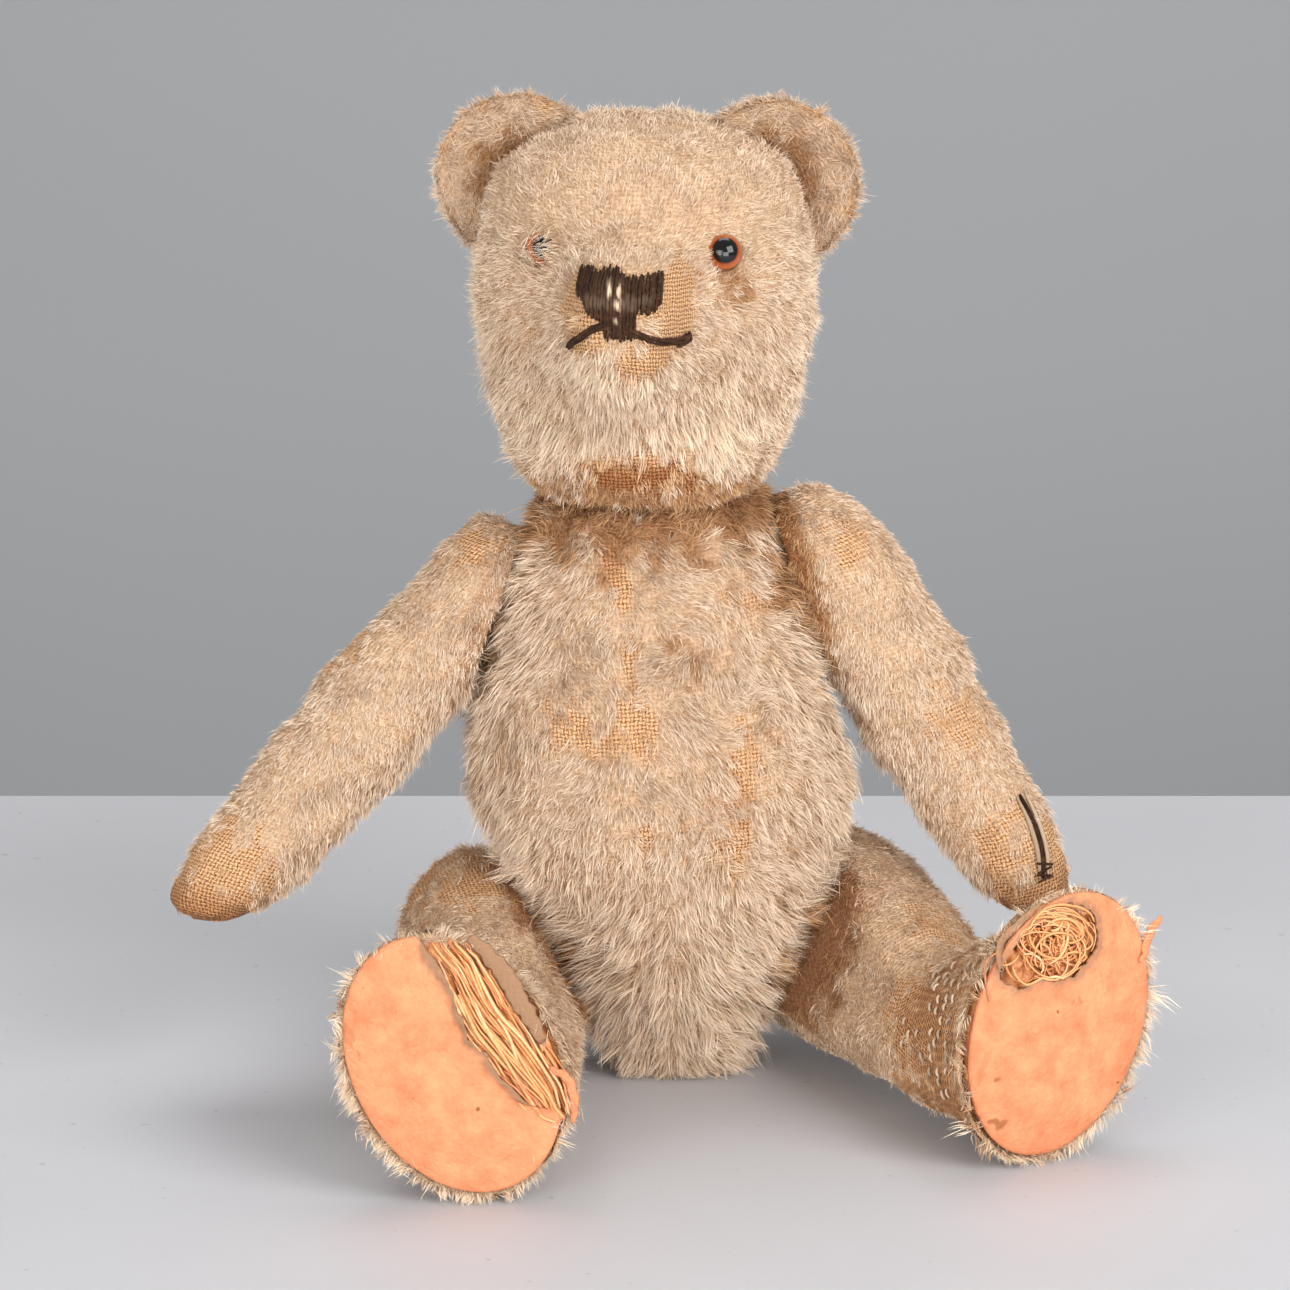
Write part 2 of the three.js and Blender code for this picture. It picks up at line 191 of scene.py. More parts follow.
table_paint, tree, shader = new_material("table_paint", Roughness=0.6)
place = own_place(tree)
cloudy = ramp(
    tree,
    noise(tree, place, 11.0, 6.0),
    [(0.3, (0.545, 0.541, 0.558)), (0.7, (0.59, 0.586, 0.602))],
)
specks = between(tree, noise(tree, place, 330.0, 2.0), 0.71, 0.76, 0.0, 0.35)
plug(tree, shader.inputs["Base Color"], mixed(tree, specks, cloudy, (0.24, 0.23, 0.245)))
raised(tree, shader, noise(tree, place, 160.0, 4.0), 0.05)

edge = carried_round((TABLE_EDGE - EDGE_ROUND, -EDGE_ROUND), EDGE_ROUND, math.pi / 2, 0, 7)
table_profile = np.vstack([[(TABLE_FRONT, 0)], edge, [(TABLE_EDGE, -TABLE_THICKNESS)]])
table = write_mesh("table", *carried_along_x(table_profile, TABLE_HALF_WIDTH), table_paint)

wall_paint, tree, shader = new_material("wall_paint", Roughness=0.9)
soft_cloud = noise(tree, own_place(tree), 1.6, 2.0)
wall_colour = ramp(tree, soft_cloud, [(0.3, (0.385, 0.390, 0.398)), (0.7, (0.41, 0.415, 0.423))])
plug(tree, shader.inputs["Base Color"], wall_colour)
wall_profile = [(WALL_BACK, WALL_TOP), (WALL_BACK, WALL_FOOT)]
wall = write_mesh("wall", *carried_along_x(wall_profile, WALL_HALF_WIDTH), wall_paint)


# ---------------------------------------------------------------------------------------------
# Light: one large soft box high on the bear's left front, a weaker one on its right, a window in
# front that the eyes catch, a low box that lifts the shadows under the belly and the feet, a light
# on the wall, and an even grey room.
# ---------------------------------------------------------------------------------------------
def soft_box(name, place, aim, size, watts):
    """A square area light at place that shines at aim, both in millimetres."""
    lamp = bpy.data.lights.new(name, "AREA")
    lamp.size = 0.001 * size
    lamp.energy = watts
    made = bpy.data.objects.new(name, lamp)
    bpy.context.scene.collection.objects.link(made)
    start, end = 0.001 * np.array(place, float), 0.001 * np.array(aim, float)
    away = start - end
    heading = math.atan2(away[1], away[0]) + math.pi / 2
    made.location = start
    made.rotation_euler = (math.acos(away[2] / np.linalg.norm(away)), 0, heading)


soft_box("key_light", (640, -700, 660), (0, 0, 60), 700, 9.5)
soft_box("fill_light", (-560, -860, 260), (20, 0, 40), 600, 4)
soft_box("window_light", (-380, -900, 330), (0, 0, 90), 520, 2)
soft_box("low_light", (200, -1050, 110), (0, 0, 45), 600, 7)
soft_box("wall_light", (0, 500, 1400), (0, WALL_BACK, 200), 900, 8)

room = bpy.data.worlds.new("room")
room.use_nodes = True
room.node_tree.nodes["Background"].inputs["Color"].default_value = (0.95, 0.97, 1.0, 1)
room.node_tree.nodes["Background"].inputs["Strength"].default_value = 0.43
bpy.context.scene.world = room


# ---------------------------------------------------------------------------------------------
# Torso: mohair plush sewn with a seam down the front and packed hard with wood wool, so it bulges
# at the belly and narrows to the neck. The pile is worn to the weave along the seam and in
# patches on the belly, and stays long and shaggy low down and at the sides.
# ---------------------------------------------------------------------------------------------
LEAN = math.radians(3.2)
TORSO_OUTLINE = [
    [0, -3],
    [10, -0.5],
    [16, 12],
    [25.5, 30],
    [31.5, 47],
    [31, 62],
    [28, 76],
    [25, 88],
    [19, 98.5],
    [0, 103.5],
]
SEAM = [[5, -5.2], [30, -2.4], [60, -3.0], [70, -3.2], [82, -4.1], [92, -5.7]]  # height and x
PILE_ROOM = 1.0  # how far the backing lies inside the bear's outline, which the pile fills


def unit(vectors):
    """The vectors with length 1."""
    return vectors / np.maximum(np.linalg.norm(vectors, axis=-1, keepdims=True), 1e-9)


def smoothly(value, low, high):
    """0 below low, 1 above high, and a smooth S between them."""
    t = np.clip((value - low) / (high - low), 0, 1)
    return t * t * (3 - 2 * t)


def through(points, t):
    """A centripetal Catmull-Rom curve through points: a cubic from each point to the next, whose
    tangents weigh each neighbour by the root of its distance. t runs from 0 to 1."""
    p = np.asarray(points, float)
    p = np.vstack([2 * p[0] - p[1], p, 2 * p[-1] - p[-2]])
    gap = np.maximum(np.linalg.norm(np.diff(p, axis=0), axis=1), 1e-6) ** 0.5
    s = np.clip(t, 0, 1) * (len(points) - 1)
    i = np.minimum(s.astype(int), len(points) - 2)
    w = (s - i)[..., None]
    a, b, c, d = p[i], p[i + 1], p[i + 2], p[i + 3]
    before, here, after = (gap[i + k][..., None] for k in range(3))
    m = ((b - a) / before - (c - a) / (before + here) + (c - b) / here) * here
    n = ((c - b) / here - (d - b) / (here + after) + (d - c) / after) * here
    return b + w * (m + w * (3 * (c - b) - 2 * m - n + w * (2 * (b - c) + m + n)))


def wander(points, size, seed):
    """A smooth field of about -1 to 1: the sum of twelve sine waves in random directions, with
    wavelengths round size millimetres."""
    rng = np.random.default_rng(seed)
    ways = unit(rng.normal(size=(12, 3))) * (2 * np.pi / size * rng.uniform(0.7, 1.5, (12, 1)))
    return np.sin(points @ ways.T + rng.uniform(0, 2 * np.pi, 12)).sum(-1) / 3.5


def swirl(points, size, seed):
    """A smooth field of vectors: three wandering fields, one along each axis."""
    return np.stack([wander(points, size, seed + k) for k in range(3)], -1)


def spots(points, rows, ragged=0.45):
    """The strongest of soft spots: each row is a centre, a radius along X, Y and Z, and a
    strength. A spot is full inside 0.7 of its radius and gone past 1.3, with a ragged edge."""
    edge = ragged * wander(points, 4.5, 71) + 0.8 * ragged * wander(points, 1.5, 72)
    found = np.zeros(points.shape[:-1])
    for x, y, z, rx, ry, rz, strength in rows:
        far = np.linalg.norm((points - (x, y, z)) / (rx, ry, rz), axis=-1) + edge
        found = np.maximum(found, strength * (1 - smoothly(far, 0.7, 1.3)))
    return found


def grid_normals(points):
    """Outward unit normals of a closed grid whose first and last rows are its two poles."""
    around = np.roll(points[:, :-1], -1, 1) - np.roll(points[:, :-1], 1, 1)
    around = np.concatenate([around, around[:, :1]], 1)
    normals = unit(np.cross(around, np.gradient(points, axis=0)))
    normals[0], normals[-1] = unit(normals[1].mean(0)), unit(normals[-2].mean(0))
    outwards = np.sum(normals * (points - points.mean((0, 1))))
    return normals if outwards > 0 else -normals


def cover(place, around, along, flats=(), inset=PILE_ROOM, lumps=0.35, turn=None, origin=(0, 0, 0)):
    """A sewn cover as a closed grid: place(turn, t) gives the pattern's surface for a turn round
    it, from seam to seam, and t from pole to pole. Each point moves in by inset, less the lumps
    of the stuffing, and is pressed on to each flat (normal . p = height). No pile grows on a flat
    within its radius of its centre."""
    angle, t = np.meshgrid(np.linspace(0, 2 * np.pi, around + 1), np.linspace(0, 1, along + 1))
    drawn = place(angle, t)
    drawn[:, -1] = drawn[:, 0]
    swell = lumps * (wander(drawn, 15, 5) + 0.5 * wander(drawn, 6, 6))
    points = drawn - grid_normals(drawn) * (inset - swell)[..., None]
    points[0], points[-1] = points[0].mean(0), points[-1].mean(0)
    clear = np.full(t.shape, 99.0)
    for normal, height, centre, radius in flats:
        depth = points @ normal - height
        points = points - np.maximum(depth + 0.05, 0)[..., None] * normal
        beside = np.linalg.norm(points - centre, axis=-1) - radius
        clear = np.minimum(clear, np.maximum(-depth, beside))
    around_step = np.linalg.norm(np.diff(points, axis=1), axis=-1)
    across = np.concatenate([np.zeros((along + 1, 1)), np.cumsum(around_step, 1)], 1)
    across -= across[:, around // 2 : around // 2 + 1]
    along_step = np.linalg.norm(np.diff(points, axis=0), axis=-1).mean(1)
    upward = np.concatenate([[0], np.cumsum(along_step)])[:, None] + np.zeros_like(across)
    return {
        "points": points,
        "normals": grid_normals(points),
        "clear": clear,
        "map": np.stack([across, upward], -1),
        "turn": np.eye(3) if turn is None else turn,
        "origin": np.asarray(origin, float),
    }


def in_row(made, points):
    """Points of a cover's own frame in the bear's frame."""
    return points @ made["turn"].T + made["origin"]


def add_values(piece, **values):
    """Writes one number for each point under each name."""
    for name, numbers in values.items():
        layer = piece.data.attributes.new(name, "FLOAT", "POINT")
        layer.data.foreach_set("value", np.asarray(numbers, np.float32).ravel())


def value_of(tree, name):
    """The value that add_values wrote under a name, read in a material."""
    return node(tree, "ShaderNodeAttribute", attribute_name=name).outputs["Fac"]


def sew(name, made, coat, body, material, *cad_nodes):
    """Writes a cover: its faces, the weave's map in millimetres, how bare it is, and how dirty it is with painted
    shade added.
    """
    points = made["points"]
    rows, columns = points.shape[0] - 1, points.shape[1] - 1
    index = 1 + np.arange(rows - 1)[:, None] * columns + np.arange(columns)
    index = np.vstack([np.zeros((1, columns), int), index, np.full((1, columns), index[-1, -1] + 1)])
    right = np.roll(index, -1, 1)
    quads = np.stack([index[:-1], right[:-1], right[1:], index[1:]], -1)
    step = np.stack(np.meshgrid(np.arange(rows), np.arange(columns), indexing="ij"), -1)
    corner = np.array([[0, 0], [0, 1], [1, 1], [1, 0]])
    where = step[:, :, None] + corner
    flat = in_row(made, np.vstack([points[:1, 0], points[1:-1, :-1].reshape(-1, 3), points[-1:, 0]]))
    face = np.cross(points[1:, 1:] - points[:-1, :-1], points[1:, :-1] - points[:-1, 1:])
    if np.sum(face * made["normals"][:-1, :-1]) > 0:
        quads, where = quads[:, :, ::-1], where[:, :, ::-1]
    faces, places = [], []
    for row in range(rows):
        for quad, at in zip(quads[row].tolist(), where[row].tolist()):
            keep = [k for k in range(4) if quad[k] != quad[k - 1]]
            faces.append([quad[k] for k in keep])
            places += [at[k] for k in keep]
    piece = write_mesh(name, flat, faces, material)
    places = np.array(places)
    weave_map = piece.data.uv_layers.new(name="weave")
    weave_map.data.foreach_set("uv", made["map"][places[:, 0], places[:, 1]].ravel())
    look = coat(points, made["normals"])
    for kind in ("bare", "soil"):
        grid = np.broadcast_to(look[kind], points.shape[:-1])
        add_values(piece, **{kind: np.concatenate([grid[:1, 0], grid[1:-1, :-1].ravel(), grid[-1:, 0]])})
    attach(piece, body)
    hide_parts(*cad_nodes)


def weave_group():
    """Plain weave on a map in millimetres: each yarn is a sine ridge, raised where it passes over
    the other set. Height runs from 0 in the holes to 1 on a yarn's crown."""
    group = bpy.data.node_groups.new("weave", "ShaderNodeTree")
    group.interface.new_socket("Map", in_out="INPUT", socket_type="NodeSocketVector")
    group.interface.new_socket("Pitch", in_out="INPUT", socket_type="NodeSocketFloat")
    group.interface.new_socket("Height", in_out="OUTPUT", socket_type="NodeSocketFloat")
    group.interface.new_socket("Yarn Shade", in_out="OUTPUT", socket_type="NodeSocketFloat")
    given = group.nodes.new("NodeGroupInput")
    result = group.nodes.new("NodeGroupOutput")
    drift = node(
        group, "ShaderNodeTexNoise", {"Vector": given.outputs["Map"], "Scale": 0.5, "Detail": 3.0}
    )
    drawn = node(group, "ShaderNodeVectorMath", operation="MULTIPLY_ADD")
    plug(group, drawn.inputs[0], drift.outputs["Color"])
    drawn.inputs[1].default_value = (0.9, 0.9, 0)
    plug(group, drawn.inputs[2], given.outputs["Map"])
    split = node(group, "ShaderNodeSeparateXYZ", {"Vector": drawn.outputs[0]})
    x = maths(group, "DIVIDE", split.outputs["X"], given.outputs["Pitch"])
    y = maths(group, "DIVIDE", split.outputs["Y"], given.outputs["Pitch"])
    ridges = [
        maths(group, "ABSOLUTE", maths(group, "SINE", maths(group, "MULTIPLY", v, math.pi)))
        for v in (x, y)
    ]
    cells = maths(group, "ADD", maths(group, "FLOOR", x), maths(group, "FLOOR", y))
    over = maths(group, "MULTIPLY", maths(group, "FRACT", maths(group, "MULTIPLY", cells, 0.5)), 2.0)
    lift_one = maths(group, "MULTIPLY_ADD", over, 0.5, 0.5)
    lift_two = maths(group, "MULTIPLY_ADD", over, -0.5, 1.0)
    height = maths(
        group,
        "MAXIMUM",
        maths(group, "MULTIPLY", ridges[0], lift_one),
        maths(group, "MULTIPLY", ridges[1], lift_two),
    )
    plug(group, result.inputs["Height"], height)
    streaks = node(group, "ShaderNodeTexNoise", {"Vector": drawn.outputs[0], "Scale": 1.3})
    plug(group, result.inputs["Yarn Shade"], streaks.outputs["Fac"])
    return group


plush_weave = weave_group()
YARN_PITCH = 0.7


def plush_backing():
    """The woven cotton that the pile stands in: orange tan and open where it is bare, with painted shade dark in
    the holes between its yarns; under the pile, the hairs' brown colour with painted shade between them; and
    browner still where it is dirty and where shade is painted."""
    material, tree, shader = new_material("plush_backing", Roughness=0.95)
    shader.inputs["Specular IOR Level"].default_value = 0.15
    cloth = node(tree, "ShaderNodeUVMap", uv_map="weave")
    woven = node(tree, "ShaderNodeGroup", node_tree=plush_weave)
    plug(tree, woven.inputs["Map"], cloth.outputs["UV"])
    woven.inputs["Pitch"].default_value = YARN_PITCH
    bare, soil = value_of(tree, "bare"), value_of(tree, "soil")
    # Painted shade: the yarns are pale on their crowns, darker on their flanks and darkest in the holes between
    # them.
    yarn = ramp(
        tree,
        woven.outputs["Height"],
        [
            (0.25, (0.15, 0.055, 0.019)),
            (0.5, (0.40, 0.180, 0.070)),
            (0.8, (0.62, 0.340, 0.160)),
            (1.0, (0.76, 0.470, 0.250)),
        ],
    )
    faded = mixed(
        tree,
        between(tree, woven.outputs["Yarn Shade"], 0.35, 0.7),
        yarn,
        mixed(tree, 0.5, yarn, (0.62, 0.37, 0.20)),
    )
    # The pile's brown colour near its bases, with painted shade between the hairs.
    roots_and_shade = ramp(
        tree,
        noise(tree, own_place(tree), 900.0, 3.0),
        [(0.3, (0.46, 0.28, 0.155)), (0.7, (0.70, 0.48, 0.31))],
    )
    ragged = noise(tree, own_place(tree), 420.0, 3.0)
    worn = maths(tree, "MULTIPLY_ADD", ragged, 0.9, maths(tree, "ADD", bare, -0.45))
    clean = mixed(tree, between(tree, worn, 0.1, 0.5), roots_and_shade, faded)
    # Browner where the cover is dirty and where shade is painted on it.
    soiled_and_shaded = mixed(tree, soil, clean, (0.42, 0.22, 0.10), "MULTIPLY")
    plug(tree, shader.inputs["Base Color"], soiled_and_shaded)
    raised(tree, shader, woven.outputs["Height"], 0.28)
    return material


backing = plush_backing()

# How a hair's colour is kept: across the map lie four kinds of pile side by side, each from root
# to tip, and up the map each kind goes from dull to bright.
PILE_KINDS = [
    ((0.42, 0.255, 0.138), (0.76, 0.557, 0.385), (0.96, 0.83, 0.665)),  # clean and faded
    # The brown kind below is for real dirt and also for painted shade under the head and in the joints' creases.
    ((0.27, 0.105, 0.032), (0.54, 0.290, 0.125), (0.74, 0.48, 0.27)),  # soiled brown
    ((0.44, 0.225, 0.095), (0.69, 0.420, 0.220), (0.82, 0.57, 0.35)),  # rubbed, the weave's colour
    ((0.64, 0.450, 0.290), (0.86, 0.680, 0.480), (0.96, 0.84, 0.68)),  # bleached cream
]
FADED, SOILED_AND_SHADED, RUBBED, CREAM = range(4)


def pile_material():
    """Mohair: each hair goes from a brown root to a pale tip, and has a slight silky gloss."""
    material, tree, shader = new_material("mohair", Roughness=0.55)
    shader.inputs["Specular IOR Level"].default_value = 0.35
    chart = node(tree, "ShaderNodeUVMap", uv_map="OFBake")
    split = node(tree, "ShaderNodeSeparateXYZ", {"Vector": chart.outputs["UV"]})
    stops = []
    for kind, (root, middle, tip) in enumerate(PILE_KINDS):
        start = kind / len(PILE_KINDS)
        for share, colour in ((0.02, root), (0.5, middle), (0.9, tip)):
            stops.append((start + share / len(PILE_KINDS), colour))
    hair = ramp(tree, split.outputs["X"], stops)
    brightness = ramp(
        tree, split.outputs["Y"], [(0.0, (0.55, 0.46, 0.39)), (0.5, (0.92, 0.90, 0.88)), (1.0, (1, 1, 1))]
    )
    plug(tree, shader.inputs["Base Color"], mixed(tree, 1.0, hair, brightness, "MULTIPLY"))
    return material


mohair = pile_material()
DOWN = np.array([0.0, 0.0, -1.0])
TABLE_CLEARANCE = 0.1  # the pile under the bear lies pressed on the table
STRAYS, STRAY_LENGTH = 0.05, 1.7  # the share of hairs that stand out, and how much longer they are


def pile(name, made, coat, body, clumps, hairs, seed, bent=True, width=0.15, cluster=0.95):
    """Pile that stands in a cover, as flat tapering hairs. Clumps of hairs are strewn over the
    cover's faces by area and by the coat's weight. A hair starts within cluster millimetres of its
    clump's middle, leaves at a slant between the normal and the coat's lie, droops, and its tip
    is drawn towards the clump's. A bent hair widens from its root to its knee and narrows to its
    tip, and a straight one narrows all the way."""
    rng = np.random.default_rng(seed)
    p, n, clear = made["points"], made["normals"], made["clear"]
    ends = (slice(None, -1), slice(1, None))
    quads = [(v, u) for v in ends for u in ends]
    area = np.linalg.norm(np.cross(p[1:, 1:] - p[:-1, :-1], p[1:, :-1] - p[:-1, 1:]), axis=-1)
    middle = sum(p[q] for q in quads) / 4
    weight = area * coat(middle, unit(sum(n[q] for q in quads)))["weight"]
    weight *= smoothly(sum(clear[q] for q in quads) / 4, -0.3, 0.3)
    cell = rng.choice(weight.size, clumps, p=(weight / weight.sum()).ravel())
    row, column = np.divmod(cell, weight.shape[1])
    v, u = rng.random((2, clumps, 1))
    shares = [(1 - v) * (1 - u), (1 - v) * u, v * (1 - u), v * u]
    corners = [(row, column), (row, column + 1), (row + 1, column), (row + 1, column + 1)]
    at = sum(s * p[c] for s, c in zip(shares, corners))
    normal = unit(sum(s * n[c] for s, c in zip(shares, corners)))
    look = coat(at, normal)
    room = sum(s[:, 0] * clear[c] for s, c in zip(shares, corners))
    length = look["length"] * rng.uniform(0.75, 1.15, clumps) * smoothly(room, -1.5, 1.5)
    flow = look["flow"] + 0.35 * rng.normal(size=at.shape)
    flow = unit(flow - np.sum(flow * normal, -1, keepdims=True) * normal)
    lift = np.clip(look["lift"] + 0.10 * rng.normal(size=clumps), 0.05, 0.95)[:, None]

    def per_hair(values):
        return values[:, None] + np.zeros((1, hairs) + (1,) * (values.ndim - 1))

    side = unit(np.cross(normal, flow))
    spread = cluster * np.sqrt(rng.random((clumps, hairs, 1)))
    turn = rng.uniform(0, 2 * np.pi, (clumps, hairs, 1))
    offset = spread * (np.cos(turn) * side[:, None] + np.sin(turn) * flow[:, None])
    root = at[:, None] + offset - 0.25 * normal[:, None]
    each = length[:, None, None] * rng.uniform(0.6, 1.15, (clumps, hairs, 1))
    each = each * np.where(rng.random((clumps, hairs, 1)) < STRAYS, STRAY_LENGTH, 1)
    sag = DOWN @ made["turn"]
    first = unit(normal * lift + flow * (1 - lift))[:, None] + 0.34 * rng.normal(size=root.shape)
    first = unit(first)
    second = unit(first + 0.55 * flow[:, None] + 0.25 * sag + 0.2 * rng.normal(size=root.shape))
    knee = root + 0.5 * each * first
    tip = knee + 0.55 * each * second
    pull = np.broadcast_to(look["pull"], (clumps,))[:, None, None]
    clump_tip = tip.mean(1, keepdims=True) + 0.12 * each.mean(1, keepdims=True) * normal[:, None]
    knee = knee + 0.3 * pull * (clump_tip - tip)
    tip = tip + pull * (clump_tip - tip)
    line = unit(tip - root)
    flat = unit(np.cross(line, per_hair(normal)))
    roll = rng.uniform(-1.1, 1.1, (clumps, hairs, 1))
    flat = flat * np.cos(roll) + np.cross(line, flat) * np.sin(roll)
    half = 0.5 * width * rng.uniform(0.7, 1.25, (clumps, hairs, 1)) * flat
    if bent:
        verts = np.stack([root, knee - half, knee + half, tip], 2)
        corner = np.array([0, 1, 2, 2, 1, 3])
        starts, along = np.array([0, 3]), np.array([0.0, 0.5, 0.5, 1.0])
    else:
        verts = np.stack([root - half, root + half, tip], 2)
        corner = np.array([0, 1, 2])
        starts, along = np.array([0]), np.array([0.0, 0.0, 1.0])
    count = clumps * hairs
    points = in_row(made, verts.reshape(-1, 3))
    points[:, 2] = np.maximum(points[:, 2], TABLE_CLEARANCE)
    loops = (np.arange(count)[:, None] * verts.shape[2] + corner).ravel()
    mesh = bpy.data.meshes.new(name)
    mesh.vertices.add(len(points))
    mesh.vertices.foreach_set("co", (0.001 * points).astype(np.float32).ravel())
    mesh.loops.add(len(loops))
    mesh.loops.foreach_set("vertex_index", loops.astype(np.int32))
    mesh.polygons.add(count * len(starts))
    start = (np.arange(count)[:, None] * len(corner) + starts).ravel()
    mesh.polygons.foreach_set("loop_start", start.astype(np.int32))
    tone = look["tone"][:, None] + 0.1 * rng.normal(size=(clumps, 1))
    tone = tone + 0.18 * rng.normal(size=(clumps, hairs))
    tone = np.clip(tone, 0.02, 0.98)[..., None]
    kind = np.broadcast_to(look["kind"], (clumps,))[:, None, None]
    across = (kind + 0.06 + 0.84 * along) / len(PILE_KINDS) + 0 * tone
    upward = tone + np.where(np.arange(len(along)) % 2, 0.004, -0.004)
    chart = np.stack([across, upward], -1)[:, :, corner]
    mesh.uv_layers.new(name="OFBake").data.foreach_set("uv", chart.astype(np.float32).ravel())
    mesh.update(calc_edges=True)
    mesh.materials.append(mohair)
    piece = bpy.data.objects.new(name, mesh)
    bpy.context.scene.collection.objects.link(piece)
    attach(piece, body)


def torso_pattern(turn, t):
    """The outline turned round Z in an oval section, from the seat up; turn 0 is the back. The
    columns lie closer together in front, where the seam draws the cover in."""
    outline = through(TORSO_OUTLINE, t)
    r, z = np.abs(outline[..., 0]), outline[..., 1]
    back = -1 + 3 * smoothly(z, 45, 90)
    angle = turn + 0.45 * np.sin(turn)
    points = np.stack([r * np.sin(angle), back + 0.9 * r * np.cos(angle), z], -1)
    drawn_in = np.where(np.cos(angle) < 0, 0.7 * np.exp(-((from_seam(points) / 1.2) ** 2)), 0)
    points[..., 1] += drawn_in * smoothly(r, 8, 16)
    return points


def from_seam(points):
    """How far points lie beside the wobbly front seam, along X."""
    heights, offsets = np.transpose(SEAM)
    line = np.interp(points[..., 2], heights, offsets)
    return points[..., 0] - line - 0.5 * wander(points * (0, 0, 1), 7, 12)


def joint_place(name, reach):
    """A joint's own frame: X along its axis, Y back along the limb, and its place."""
    joint = next(j for j in frame["joints"] if j["name"] == name)
    axis = unit(np.array(joint["axis"], float))
    along = -np.array(reach, float)
    along = unit(along - along @ axis * axis)
    return np.column_stack([axis, along, np.cross(axis, along)]), 1000 * np.array(joint["pos_m"])


REACH = {
    "neck": (0, -1, 0),
    "right_shoulder": (-0.34, -0.27, -0.9),
    "left_shoulder": (0.3, -0.07, -0.95),
    "right_hip": (-0.07, -1, 0.026),
    "left_hip": (0.42, -0.9, 0.058),
}
JOINT_GAP = 0.15  # from a joint's plane to the cover on either side of it
leaning = np.array(
    [[math.cos(LEAN), 0, -math.sin(LEAN)], [0, 1, 0], [math.sin(LEAN), 0, math.cos(LEAN)]]
)
EVERYWHERE = 999.0
torso_flats = [(DOWN @ leaning, 0.0, np.zeros(3), EVERYWHERE)]
joint_spots = {}
for name, reach in REACH.items():
    frame_turn, spot = joint_place(name, reach)
    normal, spot = frame_turn[:, 0] @ leaning, (spot - seat) @ leaning
    torso_flats.append((normal, normal @ spot - JOINT_GAP, spot, EVERYWHERE))
    joint_spots[name] = spot
torso = cover(torso_pattern, 144, 72, torso_flats, turn=leaning, origin=seat)

TORSO_BARE = [
    (-5.6, -17, 89.5, 2.2, 8, 2.6, 0.95),
    (-4, -22, 75, 2.2, 8, 4, 0.5),
    (-3, -24, 66, 2.4, 8, 4.5, 0.8),
    (-13.2, -23, 66, 3.4, 8, 3.0, 0.75),
    (-8, -24, 64, 3.0, 8, 2.4, 0.5),
    (13.9, -24.5, 58, 2.6, 9, 5, 0.7),
    (12, -24.5, 46, 2.2, 9, 6, 0.7),
    (14.6, -14.4, 83.2, 3.5, 6, 2.6, 0.45),
    (20.7, -20.6, 45.7, 3, 9, 4, 0.35),
]
TORSO_STAINS = [(6, -21.8, 75.6, 3.5, 8, 3.5, 0.45), (9, -24, 52, 5, 9, 9, 0.3)]


def torso_coat(points, normals):
    """Long and shaggy low on the belly and at the sides, short on the chest, lying down and away from the front
    seam; brown with painted shade at the top under the head and in the creases round the arms and legs."""
    x, z = points[..., 0], points[..., 2]
    front = smoothly(-normals[..., 1], -0.1, 0.5)
    low = 1 - smoothly(z, 26, 52)
    side = smoothly(np.abs(normals[..., 0]), 0.45, 0.9)
    top = smoothly(z, 78, 96)
    seam = front * (1 - smoothly(np.abs(from_seam(points)), 0.5, 1.9)) * smoothly(z, 20, 45)
    bare = np.maximum(spots(points, TORSO_BARE), (0.1 + 0.6 * wander(points, 8, 13)) * seam)
    bare = np.clip(bare, 0, 0.97)
    # Painted shade: browner at the top of the torso, under the head.
    soil = 0.8 * top * smoothly(z + 3 * wander(points, 9, 3), 84, 97)
    soil = np.maximum(soil, spots(points, TORSO_STAINS))
    fringe, sweep = np.zeros(x.shape), np.zeros(points.shape)
    for name, spot in joint_spots.items():
        close = np.linalg.norm(points - spot, axis=-1) + 2 * wander(points, 7, 14)
        if name != "neck":
            reach = {"left_shoulder": 10, "right_shoulder": 6}.get(name, 12)
            # Painted shade: browner in the crease round each shoulder and hip.
            soil = np.maximum(soil, 0.8 * (1 - smoothly(close, reach, reach + 6)))
            outward = np.exp(-((close / (24 if "hip" in name else 18)) ** 6))
            fringe = fringe + outward * (1.6 if name == "right_shoulder" else 1)
            sweep = sweep + outward[..., None] * (np.sign(spot[0]), -0.3, 0)
    length = 2.6 + 2.4 * low + 1.6 * side * (1 - top) + 0.5 * wander(points, 12, 8)
    away = np.sign(x + 0.01) * (0.25 + 0.35 * smoothly(np.abs(x), 2, 14)) * front
    flow = np.stack([away, 0 * x, -1 + 0 * x], -1)
    flow = flow + 1.5 * sweep
    length = length + 1.8 * fringe
    flow = flow + (0.35 + 0.75 * front * smoothly(z, 48, 62))[..., None] * swirl(points, 17, 11)
    length = np.maximum(length * (1 - 0.6 * bare), 0.6)
    return {
        "bare": bare,
        "soil": soil,
        "weight": (1 - bare) ** 1.5 / length**0.5,
        "length": length,
        "lift": 0.42 + 0.10 * wander(points, 10, 21) - 0.1 * low,
        "flow": flow,
        "tone": 0.60 + 0.13 * wander(points, 9, 22) + 0.08 * low - 0.3 * soil,
        "kind": np.where(
            soil + 0.2 * wander(points, 4, 23) > 0.5, SOILED_AND_SHADED, np.where(bare > 0.35, RUBBED, FADED)
        ),
        "pull": 0.25 + 0.35 * low + 0.2 * side,
    }


sew("torso_plush", torso, torso_coat, "torso", backing, "torso_skin", "torso_stuffing")
pile("torso_pile", torso, torso_coat, "torso", 5600, 12, 101)
pile("torso_undercoat", torso, torso_coat, "torso", 7400, 8, 102, bent=False, width=0.17)


